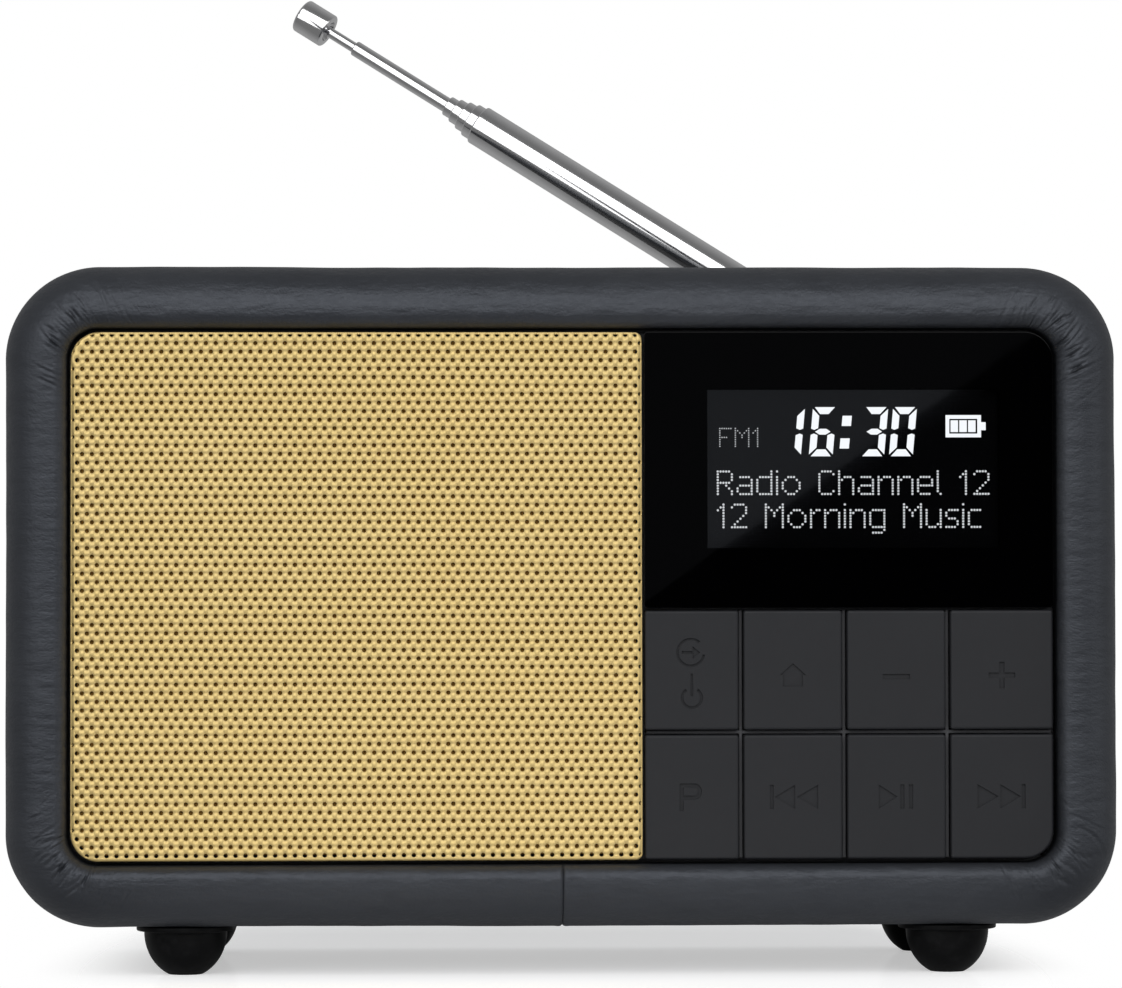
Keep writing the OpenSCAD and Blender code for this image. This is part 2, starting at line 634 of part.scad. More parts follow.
module antenna_nut() color("silver") swivel_frame() rearwards() difference() {
    translate([0, 0, base_foot - 4.8]) cylinder(h = 1.75, r = 7.5, $fn = 6);
    translate([0, 0, base_foot - 6]) cylinder(h = 5, r = 4.95);
}

module antenna_knuckle() color("silver") swivel_frame() difference() {
    union() {
        rearwards() {
            translate([0, 0, base_top + 0.1]) cylinder(h = 1.6, r = 5.3);
            translate([0, 0, base_foot - 7.4]) cylinder(h = 7.4 + base_top - base_foot + 0.2, r = stud_r);
        }
        for (x = [-3.55, 1.35]) {
            translate([x, 0, 0]) rotate([0, 90, 0]) cylinder(h = 2.2, r = 3.2);
            box(x, base_top + 1, -3.2, x + 2.2, 0, 3.2);
        }
    }
    rotate([0, 90, 0]) cylinder(h = 12, r = 1, center = true);
    rearwards() translate([0, 0, base_foot - 6.6]) difference() {
        cylinder(h = 0.9, r = 4);
        translate([0, 0, -1]) cylinder(h = 3, r = 2.3);
    }
}

module antenna_retainer() color("silver") swivel_frame() rearwards()
    translate([0, 0, base_foot - 6.5]) difference() {
        cylinder(h = 0.7, r = 5.2);
        translate([0, 0, -1]) cylinder(h = 3, r = 2.35);
    }

module antenna_hinge_pin() color("silver") swivel_frame() rotate([0, 90, 0]) {
    cylinder(h = 7.3, r = 0.95, center = true);
    for (z = [-3.95, 3.6]) translate([0, 0, z]) cylinder(h = 0.35, r = 1.7);
}

function section_r(i) = tube_r - tube_step * (i - 1);
function section_top(i) = barrel_end + ring_step * (i - 1) + (i > 5 ? tube_pull : 0);
function section_foot(i) = 10.7 + 0.6 * (i - 2) + (i > 5 ? tube_pull : 0) + (i > 6 ? rod_pull : 0);

// Tube with a rounded mouth that grips the next tube, cut as a profile of radius and height.
function tube_bore(r, top, foot) = [
    [r - tube_wall, foot], [r - tube_wall, top - 1], [r - tube_step + 0.05, top - 0.7]];
function tube_mouth(r, top) = [
    [r - tube_step + 0.05, top], [r - 0.25, top], [r - 0.07, top - 0.15], [r, top - 0.4]];

module section(i) color([0.85, 0.85, 0.87]) antenna_frame() {
    r = section_r(i);
    top = section_top(i);
    foot = section_foot(i);
    rotate_extrude() polygon(concat(
        tube_bore(r, top, foot), tube_mouth(r, top),
        [[r, foot + collar_len], [r + 0.1, foot + collar_len - 0.3], [r + 0.1, foot]]));
}

module antenna_barrel() color([0.85, 0.85, 0.87]) antenna_frame() {
    rotate_extrude() polygon(concat(
        [[0, tube_start], [0, 10.2], [tube_r - tube_wall, 10.2]],
        tube_bore(tube_r, barrel_end, 10.3), tube_mouth(tube_r, barrel_end), [[tube_r, tube_start]]));
    difference() {
        union() {
            rotate([0, 90, 0]) cylinder(h = 2.5, r = 2.8, center = true);
            box(-1.25, -2.8, 0, 1.25, 2.8, tube_start + 0.5);
        }
        rotate([0, 90, 0]) cylinder(h = 6, r = 1, center = true);
    }
}

module antenna_section_2() section(2);
module antenna_section_3() section(3);
module antenna_section_4() section(4);
module antenna_section_5() section(5);
module antenna_section_6() section(6);

rod_r = section_r(7);
tip_foot = section_top(6) + 0.5 + rod_pull;

module antenna_rod() color([0.85, 0.85, 0.87]) antenna_frame() {
    foot = section_foot(7);
    translate([0, 0, foot]) cylinder(h = tip_foot + 4 - foot, r = rod_r);
    translate([0, 0, foot]) cylinder(h = collar_len, r = rod_r + 0.1);
}

module antenna_tip() color([0.85, 0.85, 0.87]) antenna_frame() translate([0, 0, tip_foot])
    rotate_extrude() polygon([[rod_r + 0.05, 0.6], [1.6, 0.6], [1.9, 0], [tip_r - 0.3, 0], [tip_r, 0.3],
        [tip_r, tip_len - 0.4], [tip_r - 0.4, tip_len], [0, tip_len], [0, 4.1], [rod_r + 0.05, 4.1]]);

// ---- the radio ----

cabinet_shell();
leather_wrap();
front_baffle();
baffle_screws();
speaker_grille();
grille_cloth();
display_window();
display_panel();
display_board();
key_power();
key_home();
key_minus();
key_plus();
key_preset();
key_previous();
key_play_pause();
key_next();
keypad_mat();
keypad_board();
board_screws();
speaker_gasket();
speaker_basket();
speaker_surround();
speaker_cone();
speaker_dust_cap();
voice_coil();
speaker_spider();
speaker_magnet();
speaker_top_plate();
speaker_yoke();
speaker_terminals();
speaker_screws();
main_board();
tuner_shield();
board_components();
usb_socket();
audio_jack();
battery_cells();
battery_holder();
wiring();
rear_panel();
rear_screws();
bass_port();
antenna_base();
antenna_nut();
antenna_knuckle();
antenna_retainer();
antenna_hinge_pin();
antenna_barrel();
antenna_section_2();
antenna_section_3();
antenna_section_4();
antenna_section_5();
antenna_section_6();
antenna_rod();
antenna_tip();
front_feet();
rear_feet();
foot_screws();
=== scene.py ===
"""Looks for the leather portable radio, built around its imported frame. Lengths are in millimetres
unless a name ends in _m; a mesh is scaled to metres as it becomes an object."""
import json
import math
import random

import bmesh
import bpy
import numpy as np
from mathutils import Matrix, Vector, geometry, noise

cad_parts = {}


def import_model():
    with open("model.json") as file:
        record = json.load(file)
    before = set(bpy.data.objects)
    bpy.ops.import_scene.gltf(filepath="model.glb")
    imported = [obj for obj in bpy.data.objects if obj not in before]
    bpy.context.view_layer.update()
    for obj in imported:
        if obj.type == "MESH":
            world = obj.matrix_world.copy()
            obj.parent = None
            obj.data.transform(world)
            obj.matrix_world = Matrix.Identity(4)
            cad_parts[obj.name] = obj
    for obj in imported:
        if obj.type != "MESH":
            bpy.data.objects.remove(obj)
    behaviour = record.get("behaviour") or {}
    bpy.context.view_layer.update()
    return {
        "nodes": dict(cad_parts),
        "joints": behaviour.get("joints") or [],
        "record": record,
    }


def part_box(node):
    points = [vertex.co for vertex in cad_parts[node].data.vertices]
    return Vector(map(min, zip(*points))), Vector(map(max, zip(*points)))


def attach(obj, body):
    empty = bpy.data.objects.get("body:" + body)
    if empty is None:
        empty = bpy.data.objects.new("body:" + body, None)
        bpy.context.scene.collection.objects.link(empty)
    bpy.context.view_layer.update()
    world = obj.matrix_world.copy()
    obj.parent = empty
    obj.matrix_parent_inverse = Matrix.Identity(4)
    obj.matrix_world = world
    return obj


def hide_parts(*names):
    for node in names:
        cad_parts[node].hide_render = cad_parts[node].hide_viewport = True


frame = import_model()
NODES = frame["nodes"]
JOINTS = {j["name"]: j for j in frame["joints"]}
MM = 0.001
CABINET = "cabinet"


def box_mm(node):
    low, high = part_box(node)
    return low / MM, high / MM


# ---- measures taken from the frame ----

leather_low, leather_high = box_mm("leather_wrap")
window_low, window_high = box_mm("display_window")
HALF_W = (leather_high.x - leather_low.x) / 2
HALF_H = (leather_high.z - leather_low.z) / 2
MID_Z = (leather_high.z + leather_low.z) / 2
CREST = -leather_low.y                    # front crest of the rim, in the front frame
FACE_Z = -window_low.y                    # outer faces of the grille, the window and the keys
FIT_GAP = 0.65                            # between the front parts and the leather round them
CORNER_R = 15.3                           # outer corner radius of the cabinet
LEATHER_T = 1.0
CORE_X = HALF_W - CORNER_R
CORE_Y = HALF_H - CORNER_R
OPEN_RHO = window_high.x + FIT_GAP - CORE_X   # rim opening, measured from the corner centres


def front(x, y, z):
    """Front frame (x right, y up, z towards the user) to the row frame."""
    return (x, -z, MID_Z + y)


def front_box(node):
    """Left, bottom, right and top of a node in the front frame."""
    low, high = box_mm(node)
    return low.x, low.z - MID_Z, high.x, high.z - MID_Z


def placed(name, data):
    """A new object in the scene."""
    made = bpy.data.objects.new(name, data)
    bpy.context.scene.collection.objects.link(made)
    return made


# ---- mesh helpers ----

class Solid:
    """Collects points and faces in millimetres and becomes one object that rides on a body."""

    def __init__(self):
        self.points = []
        self.faces = []

    def ring(self, points):
        start = len(self.points)
        self.points += [tuple(p) for p in points]
        return list(range(start, len(self.points)))

    def bridge(self, a, b):
        for i in range(len(a)):
            j = (i + 1) % len(a)
            self.faces.append((a[i], a[j], b[j], b[i]))

    def cap(self, ring):
        self.faces.append(tuple(ring))

    def stack(self, rings, cap_first=True, cap_last=True):
        loops = [self.ring(r) for r in rings]
        for a, b in zip(loops, loops[1:]):
            self.bridge(a, b)
        if cap_first:
            self.cap(loops[0])
        if cap_last:
            self.cap(loops[-1])

    def lathe(self, profile, place, segments=72, capped=True):
        """Turns a profile of (radius, height) round the local z axis; place is a 4x4 matrix."""
        rings = []
        for radius, height in profile:
            turn = [2 * math.pi * i / segments for i in range(segments)]
            rings.append([place @ Vector((radius * math.cos(a), radius * math.sin(a), height)) for a in turn])
        self.stack(rings, capped, capped)

    def build(self, name, slot, stands_for=(), body=CABINET, material=None, smooth=35, uv=None):
        mesh = bpy.data.meshes.new(name)
        mesh.from_pydata([[c * MM for c in p] for p in self.points], [], self.faces)
        mesh.validate()
        work = bmesh.new()
        work.from_mesh(mesh)
        if uv is None:
            bmesh.ops.remove_doubles(work, verts=work.verts, dist=1e-7)
            bmesh.ops.dissolve_degenerate(work, edges=work.edges, dist=1e-8)
        bmesh.ops.recalc_face_normals(work, faces=work.faces)
        work.to_mesh(mesh)
        work.free()
        if uv is not None:
            layer = mesh.uv_layers.new(name="grain")
            corners = np.zeros(len(mesh.loops), np.int32)
            mesh.loops.foreach_get("vertex_index", corners)
            layer.data.foreach_set("uv", uv[corners].astype(np.float32).ravel())
        for polygon in mesh.polygons:
            polygon.use_smooth = True
        mesh.set_sharp_from_angle(angle=math.radians(smooth))
        mesh.materials.append(material or MATERIALS[slot])
        piece = placed(name, mesh)
        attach(piece, body)
        if stands_for:
            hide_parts(*stands_for)
        return piece


def arc(cx, cy, rx, ry, start, end, count):
    angles = [math.radians(start + (end - start) * i / count) for i in range(count + 1)]
    return [(cx + rx * math.cos(a), cy + ry * math.sin(a)) for a in angles]


def rounded(x0, y0, x1, y1, radii, count=8):
    """Rounded rectangle; radii run bottom left, bottom right, top right, top left."""
    a, b, c, d = radii
    return (arc(x0 + a, y0 + a, a, a, 180, 270, count) + arc(x1 - b, y0 + b, b, b, 270, 360, count)
            + arc(x1 - c, y1 - c, c, c, 0, 90, count) + arc(x0 + d, y1 - d, d, d, 90, 180, count))


def inside(point, loop):
    x, y = point
    hit = False
    for i, (x1, y1) in enumerate(loop):
        x0, y0 = loop[i - 1]
        if (y0 > y) != (y1 > y) and x < x0 + (y - y0) / (y1 - y0) * (x1 - x0):
            hit = not hit
    return hit


def middle_of(points, triangle):
    return [sum(points[i][axis] for i in triangle) / 3 for axis in (0, 1)]


def tessellate(loops, bound=None):
    """Delaunay points and triangles whose edges follow every loop, inside the bound if there is one."""
    points, edges = [], []
    for loop in loops:
        start = len(points)
        points += loop
        edges += [(start + i, start + (i + 1) % len(loop)) for i in range(len(loop))]
    found = geometry.delaunay_2d_cdt([Vector(p) for p in points], edges, [], 0, 1e-5, False)
    points = [tuple(v) for v in found[0]]
    triangles = [tuple(t) for t in found[2] if not bound or inside(middle_of(points, t), bound)]
    return points, triangles


def shared_edges(triangles, marks):
    """Each edge, with the marks of the triangles that meet there."""
    meeting = {}
    for triangle, mark in zip(triangles, marks):
        for i in range(3):
            meeting.setdefault(frozenset((triangle[i], triangle[i - 1])), []).append(mark)
    return meeting.items()


def carve(solid, outline, shapes, z, depth):
    """Adds the flat face inside outline at depth z, with each shape sunk by depth."""
    points, triangles = tessellate([outline] + shapes, outline)
    sunk = [any(inside(middle_of(points, t), shape) for shape in shapes) for t in triangles]
    top, floor = [solid.ring([front(x, y, level) for x, y in points]) for level in (z, z - depth)]
    solid.faces += [tuple((floor if low else top)[i] for i in t) for t, low in zip(triangles, sunk)]
    for (a, b), lows in shared_edges(triangles, sunk):
        if len(set(lows)) == 2:
            solid.faces.append((top[a], top[b], floor[b], floor[a]))


def soft_plate(solid, corners, radii, z_back, z_front, edge, shapes=(), depth=0.3):
    """A plate with a rounded front edge, a narrow flat ring inside it, and shapes sunk into its face."""
    x0, y0, x1, y1 = corners
    steps = 5

    def outline(inset):
        soft = [max(r - inset, 0.02) for r in radii]
        return rounded(x0 + inset, y0 + inset, x1 - inset, y1 - inset, soft)

    flat = outline(edge + 0.04)
    carve(solid, flat, [list(s) for s in shapes], z_front, depth)
    rings = [[front(x, y, z_front) for x, y in flat]]
    for i in range(steps + 1):
        turn = math.pi / 2 * i / steps
        level = z_front - edge * (1 - math.cos(turn))
        rings.append([front(x, y, level) for x, y in outline(edge * (1 - math.sin(turn)))])
    rings.append([front(x, y, z_back) for x, y in outline(0)])
    solid.stack(rings, cap_first=False)


# ---- node helpers ----

class Graph:
    """The node tree of a material or of the world, written as calls."""

    def __init__(self, name, family=bpy.data.materials):
        self.owner = family.new(name)
        self.owner.use_nodes = True
        self.tree = self.owner.node_tree
        self.tree.nodes.clear()

    def node(self, kind, inputs=None, **settings):
        made = self.tree.nodes.new("ShaderNode" + kind)
        for key, value in settings.items():
            setattr(made, key, value)
        for key, value in (inputs or {}).items():
            self.feed(made.inputs[key], value)
        return made

    def feed(self, socket, value):
        if isinstance(value, bpy.types.NodeSocket):
            self.tree.links.new(value, socket)
        elif isinstance(value, bpy.types.Node):
            self.tree.links.new(value.outputs[0], socket)
        else:
            socket.default_value = value

    def place(self, stretch=(1, 1, 1), source="Object", turn=(0, 0, 0)):
        """Coordinates in millimetres, stretched."""
        coords = self.node("TexCoord").outputs[source]
        unit = 1 / MM if source == "Object" else 1
        scale = [unit * s for s in stretch]
        return self.node("Mapping", {"Vector": coords, "Scale": scale, "Rotation": turn})

    def noise(self, place, scale, detail=4, rough=0.55):
        return self.node("TexNoise", {"Vector": place, "Scale": scale, "Detail": detail, "Roughness": rough})

    def cells(self, place, scale, feature):
        return self.node("TexVoronoi", {"Vector": place, "Scale": scale}, feature=feature)

    def wave(self, place, scale, direction="X", distortion=0.0):
        inputs = {"Vector": place, "Scale": scale, "Distortion": distortion}
        return self.node("TexWave", inputs, bands_direction=direction).outputs[1]

    def math(self, operation, a, b):
        return self.node("Math", {0: a, 1: b}, operation=operation)

    def remap(self, value, low, high, to_low, to_high):
        return self.node("MapRange", {"Value": value, "From Min": low, "From Max": high, "To Min": to_low,
                                      "To Max": to_high})

    def blend(self, factor, a, b):
        a, b = [(*tone, 1) if isinstance(tone, tuple) else tone for tone in (a, b)]
        return self.node("Mix", {0: factor, 6: a, 7: b}, data_type="RGBA").outputs[2]

    def bump(self, height, distance, normal=None, strength=1.0):
        inputs = {"Height": height, "Distance": distance * MM, "Strength": strength}
        if normal is not None:
            inputs["Normal"] = normal
        return self.node("Bump", inputs)

    def worn_edge(self, radius):
        """A rounded-edge normal, and how much a point lies on a sharp edge."""
        soft = self.node("Bevel", {"Radius": radius * MM}, samples=4)
        flat = self.node("NewGeometry").outputs["Normal"]
        dot = self.node("VectorMath", {0: soft, 1: flat}, operation="DOT_PRODUCT").outputs["Value"]
        return soft, self.remap(dot, 0.97, 0.75, 0.0, 1.0)

    def mix(self, factor, a, b):
        return self.node("MixShader", {0: factor, 1: a, 2: b})

    def output(self, shader, kind="OutputMaterial"):
        self.node(kind, {0: shader})
        return self.owner

    def finish(self, **inputs):
        named = {k.replace("_", " "): v for k, v in inputs.items()}
        return self.output(self.node("BsdfPrincipled", named))


def lift(colour, gain, add=0.0):
    """A lighter or darker shade."""
    return tuple(min(1.0, c * gain + add) for c in colour)


# ---- materials ----

def leather_material():
    g = Graph("leather_dark_slate")
    wrinkles_and_crease_shade = g.noise(g.place((0.2, 0.2, 0.6)), 1.0, 4, 0.5)
    fine = g.noise(g.place((0.9, 0.9, 2.2)), 1.0, 4, 0.6)
    pebbles = g.cells(g.place((1.0, 0.72, 1), "UV"), 1.35, "DISTANCE_TO_EDGE")
    pores = g.noise(g.place(source="UV"), 7.0, 2)
    broad = g.noise(g.place(), 0.045, 3)
    tone = g.blend(g.remap(broad, 0.35, 0.65, 0, 1), (0.0122, 0.0132, 0.0157), (0.0172, 0.0184, 0.0212))
    # painted shade: the tone darkens in the wrinkles' hollows, where their relief dips
    tone = g.blend(g.remap(wrinkles_and_crease_shade, 0.34, 0.5, 0.4, 0), tone, (0.0085, 0.009, 0.0108))
    tone = g.blend(g.remap(fine, 0.56, 0.72, 0, 0.3), tone, (0.026, 0.0275, 0.033))
    rough = g.math("ADD", g.remap(broad, 0.3, 0.7, 0.46, 0.54), g.remap(fine, 0.3, 0.7, -0.05, 0.07))
    normal = g.bump(g.remap(wrinkles_and_crease_shade, 0.3, 0.7, 0, 1), 0.17, strength=0.6)
    normal = g.bump(g.remap(pebbles, 0.0, 0.25, 0, 1), 0.03, normal, 0.45)
    normal = g.bump(fine, 0.07, normal, 0.5)
    normal = g.bump(pores, 0.012, normal, 0.6)
    return g.finish(Base_Color=tone, Roughness=rough, Normal=normal, Specular_IOR_Level=0.7,
                    Specular_Tint=(0.82, 0.88, 1, 1))


def gold_material():
    g = Graph("champagne_gold_sheet")
    place = g.place()
    cloud = g.noise(place, 0.05, 2)
    speck = g.noise(place, 2.2, 3)
    peel = g.noise(place, 3.5, 2)
    tone = g.blend(cloud, (0.72, 0.528, 0.202), (0.757, 0.575, 0.242))
    tone = g.blend(g.remap(speck, 0.52, 0.75, 0, 0.35), tone, (0.80, 0.61, 0.31))
    rough = g.remap(speck, 0.3, 0.7, 0.43, 0.54)
    normal = g.bump(peel, 0.012, strength=0.4)
    return g.finish(Base_Color=tone, Metallic=0.55, Roughness=rough, Normal=normal)


def plastic(name, colour, rough, edge=0.25, coat=0.0):
    """Moulded plastic with a spark texture and slightly polished edges."""
    g = Graph(name)
    place = g.place()
    spark = g.cells(place, 2.6, "SMOOTH_F1")
    mottle = g.noise(place, 0.12, 4)
    soft, on_edge = g.worn_edge(edge)
    tone = g.blend(g.remap(mottle, 0.35, 0.7, 0, 1), colour, lift(colour, 1.35, 0.004))
    tone = g.blend(g.math("MULTIPLY", on_edge, 0.25), tone, lift(colour, 1.8, 0.01))
    rough_out = g.math("SUBTRACT", g.remap(mottle, 0.3, 0.7, rough - 0.04, rough + 0.05),
                       g.math("MULTIPLY", on_edge, 0.1))
    return g.finish(Base_Color=tone, Roughness=rough_out, Normal=g.bump(spark, 0.02, soft, 0.6),
                    Coat_Weight=coat, Coat_Roughness=0.08)


def key_material():
    g = Graph("soft_touch_key")
    place = g.place()
    spark = g.noise(place, 5.0, 2)
    mottle = g.noise(place, 0.1, 3)
    handled = g.noise(place, 0.35, 3)
    tone = g.blend(mottle, (0.0126, 0.0132, 0.0156), (0.0145, 0.0152, 0.018))
    rough = g.math("ADD", g.remap(handled, 0.3, 0.7, 0.50, 0.60), g.remap(spark, 0.3, 0.7, -0.03, 0.03))
    return g.finish(Base_Color=tone, Roughness=rough, Normal=g.bump(spark, 0.012, strength=0.4),
                    Specular_IOR_Level=0.3)


def metal(name, colour, rough, brush=(1, 1, 1)):
    """Plated or brushed metal with fine scratches and finger smudges."""
    g = Graph(name)
    streaks = g.noise(g.place(brush), 3.0, 3)
    film = g.noise(g.place(), 0.22, 4)
    soft, on_edge = g.worn_edge(0.12)
    tone = g.blend(g.remap(film, 0.4, 0.75, 0, 1), colour, lift(colour, 0.86))
    tone = g.blend(g.math("MULTIPLY", on_edge, 0.3), tone, lift(colour, 1.15))
    scratched = g.remap(streaks, 0.3, 0.7, rough, rough * 1.4)
    return g.finish(Base_Color=tone, Metallic=1.0, Normal=g.bump(streaks, 0.006, soft, 0.35),
                    Roughness=g.math("ADD", scratched, g.remap(film, 0.55, 0.8, 0, 0.08)))


def chrome_material():
    g = Graph("antenna_nickel_chrome")
    place = g.place()
    film = g.noise(place, 0.18, 4)
    scratch = g.noise(g.place((6, 0.5, 6)), 1.5, 3)
    tone = g.blend(g.remap(film, 0.35, 0.75, 0, 1), (0.80, 0.80, 0.81), (0.70, 0.70, 0.71))
    rough = g.math("ADD", g.remap(scratch, 0.35, 0.7, 0.07, 0.13), g.remap(film, 0.55, 0.8, 0, 0.06))
    return g.finish(Base_Color=tone, Metallic=1.0, Roughness=rough,
                    Normal=g.bump(scratch, 0.003, strength=0.3))


def rubber(name, colour, rough=0.6, gloss=0.3):
    g = Graph(name)
    place = g.place()
    fine = g.noise(place, 4.0, 3)
    dust = g.noise(place, 0.5, 5)
    tone = g.blend(g.remap(dust, 0.5, 0.75, 0, 0.5), colour, lift(colour, 2, 0.006))
    rough_out = g.remap(dust, 0.3, 0.7, rough - 0.06, rough + 0.08)
    return g.finish(Base_Color=tone, Roughness=rough_out, Normal=g.bump(fine, 0.02, strength=0.4),
                    Specular_IOR_Level=gloss)


def woven(name, colour, pitch):
    """Plain weave: two crossed families of threads, darker where they dip between each other as painted
    shade.
    """
    g = Graph(name)
    place = g.place()
    warp = g.wave(place, 1 / pitch / 3.2, "X", 0.3)
    weft = g.wave(place, 1 / pitch / 3.2, "Z", 0.3)
    height = g.math("MAXIMUM", warp, weft)
    fuzz = g.noise(place, 3.0, 3)
    # painted shade: the tone darkens where the threads dip, following their height
    tone = g.blend(height, lift(colour, 0.4), colour)
    tone = g.blend(g.remap(fuzz, 0.5, 0.8, 0, 0.4), tone, lift(colour, 1.7, 0.01))
    return g.finish(Base_Color=tone, Roughness=0.85, Normal=g.bump(height, 0.12), Sheen_Weight=0.2)


def mottled(name, dark, light, stretch, scale, detail, grain, rough, relief, coat=0.0):
    """Two tones whose relief follows them: fibres, sintered grains or a crinkled sleeve."""
    g = Graph(name)
    cloud = g.noise(g.place(stretch), scale, detail, grain)
    return g.finish(Base_Color=g.blend(cloud, dark, light), Roughness=rough, Normal=g.bump(cloud, relief),
                    Coat_Weight=coat)


def copper_material():
    g = Graph("enamelled_copper")
    turns = g.wave(g.place(), 1.6, "Y")
    stain = g.noise(g.place(), 0.8, 3)
    tone = g.blend(stain, (0.55, 0.22, 0.08), (0.78, 0.38, 0.17))
    return g.finish(Base_Color=tone, Metallic=1.0, Roughness=g.remap(turns, 0, 1, 0.5, 0.28),
                    Normal=g.bump(turns, 0.1))


def board_material():
    """Solder mask over copper traces."""
    g = Graph("circuit_board_mask")
    place = g.place()
    cell = g.node("TexBrick", {"Vector": g.place(turn=(math.radians(90), 0, 0)), "Scale": 0.6,
                               "Mortar Size": 0.06, "Color1": (0, 0, 0, 1), "Color2": (0, 0, 0, 1),
                               "Mortar": (1, 1, 1, 1)})
    cloud = g.noise(place, 0.3, 3)
    tone = g.blend(cloud, (0.006, 0.05, 0.018), (0.012, 0.085, 0.03))
    tone = g.blend(g.math("MULTIPLY", cell, 0.6), tone, (0.03, 0.18, 0.07))
    return g.finish(Base_Color=tone, Roughness=0.28, Normal=g.bump(cell, 0.03), Coat_Weight=0.4)


def window_material():
    """Piano black with a clear field over the display."""
    g = Graph("window_piano_black")
    coords = g.node("TexCoord").outputs["Object"]
    split = g.node("SeparateXYZ", {"Vector": coords})
    field = 1.0
    for axis, low, high in (("X", SCREEN_LOW.x, SCREEN_HIGH.x), ("Z", SCREEN_LOW.z, SCREEN_HIGH.z)):
        for limit, sign in ((low, 1), (high, -1)):
            far = g.math("MULTIPLY", g.math("SUBTRACT", split.outputs[axis], limit * MM), sign)
            field = g.math("MULTIPLY", g.remap(far, -0.05 * MM, 0.05 * MM, 0, 1), field)
    smear = g.noise(g.place((1, 1, 0.5)), 0.09, 4)
    haze = g.noise(g.place(), 0.5, 5)
    rough = g.math("ADD", g.remap(smear, 0.5, 0.8, 0.012, 0.04), g.remap(haze, 0.6, 0.8, 0, 0.02))
    ripple = g.bump(g.noise(g.place(), 0.03, 2), 0.05, strength=0.3)
    black = g.node("BsdfPrincipled", {"Base Color": (0.0003, 0.0003, 0.0004, 1), "Roughness": rough,
                                                "Normal": ripple, "Specular IOR Level": 0.42})
    clear = g.node("BsdfTransparent", {"Color": (0.86, 0.87, 0.88, 1)})
    gloss = g.node("BsdfGlossy", {"Roughness": rough, "Normal": ripple})
    outer = g.math("SUBTRACT", 1.0, g.node("NewGeometry").outputs["Backfacing"])
    mirror = g.math("MULTIPLY", g.node("Fresnel", {"IOR": 1.45}), outer)
    return g.output(g.mix(field, black, g.mix(mirror, clear, gloss)))


def display_material():
    g = Graph("display_dark_glass")
    place = g.place()
    lines = g.math("MAXIMUM", g.wave(place, 0.7, "X"), g.wave(place, 0.7, "Z"))
    tone = g.blend(lines, (0.0024, 0.0024, 0.0028), (0.0034, 0.0034, 0.0038))
    rough = g.remap(g.noise(place, 0.3, 3), 0.3, 0.7, 0.02, 0.035)
    return g.finish(Base_Color=tone, Roughness=rough, Normal=g.bump(lines, 0.0005), IOR=2.6,
                    Coat_Weight=1.0, Coat_IOR=2.6, Coat_Roughness=0.02)


def figure_material(name, strength):
    """Lit figures of the display, with a faint unevenness."""
    g = Graph(name)
    flicker = g.noise(g.place(), 1.2, 2)
    tone = g.blend(flicker, (0.95, 0.97, 1.0), (1.0, 1.0, 1.0))
    return g.finish(Base_Color=(0.02, 0.02, 0.02, 1), Emission_Color=tone, Emission_Strength=strength,
                    Roughness=0.5)


panel_low, panel_high = box_mm("display_panel")
SCREEN_LEFT, SCREEN_RIGHT = 1.35, 2.45     # from the edges of the display glass to its lit area
SCREEN_EDGE_Z = 2.15
SCREEN_LOW = Vector((panel_low.x + SCREEN_LEFT, 0, panel_low.z + SCREEN_EDGE_Z))
SCREEN_HIGH = Vector((panel_high.x - SCREEN_RIGHT, 0, panel_high.z - SCREEN_EDGE_Z))

MATERIALS = {
    "leather": leather_material(),
    "grille_gold": gold_material(),
    "key_plastic": key_material(),
    "window_gloss": window_material(),
    "display": display_material(),
    "antenna_chrome": chrome_material(),
    "foot_rubber": rubber("foot_black_rubber", (0.0022, 0.0023, 0.0026), 0.42, 0.1),
    "soft_rubber": rubber("surround_rubber", (0.012, 0.012, 0.012)),
    "silicone": rubber("keypad_silicone", (0.02, 0.02, 0.022)),
    "black_plastic": plastic("black_spark_plastic", (0.018, 0.0182, 0.0205), 0.5),
    "cabinet_plastic": plastic("cabinet_moulding", (0.03, 0.03, 0.033), 0.55, edge=0.3),
    "screw_steel": metal("zinc_plated_steel", (0.62, 0.62, 0.64), 0.25),
    "black_steel": metal("black_oxide_steel", (0.05, 0.05, 0.052), 0.38),
    "pressed_steel": metal("pressed_plated_steel", (0.5, 0.5, 0.52), 0.32, brush=(1, 6, 1)),
    "cloth": woven("grille_backing_cloth", (0.5, 0.27, 0.04), 0.35),
    "spider_cloth": woven("resin_dipped_cloth", (0.42, 0.24, 0.07), 0.5),
    "cone_paper": mottled("dyed_cone_paper", (0.008, 0.008, 0.008), (0.03, 0.03, 0.031), (1, 3, 1), 1.3, 6,
                          0.7, 0.9, 0.08),
    "copper": copper_material(),
    "ferrite": mottled("sintered_ferrite", (0.012, 0.012, 0.013), (0.05, 0.05, 0.054), (1, 1, 1), 1.8, 6,
                       0.7, 0.62, 0.05),
    "circuit_board": board_material(),
    "cell_wrap": mottled("cell_shrink_sleeve", (0.012, 0.06, 0.2), (0.02, 0.1, 0.3), (0.3, 1, 1), 0.8, 5,
                         0.55, 0.25, 0.08, 0.5),
    "wire_sleeve": plastic("red_wire_sleeve", (0.35, 0.015, 0.012), 0.35, coat=0.3),
}


def paint_frame():
    """Gives every CAD node the material of its slot; the baffle is moulded in a greyer plastic."""
    own = {"front_baffle": plastic("baffle_grey_plastic", (0.045, 0.0455, 0.05), 0.6)}
    for part in frame["record"]["subparts"]:
        node = NODES[part["node"]]
        node.data.materials.clear()
        node.data.materials.append(own.get(part["node"], MATERIALS[part["material_slot"]]))


# ---- leather wrap ----

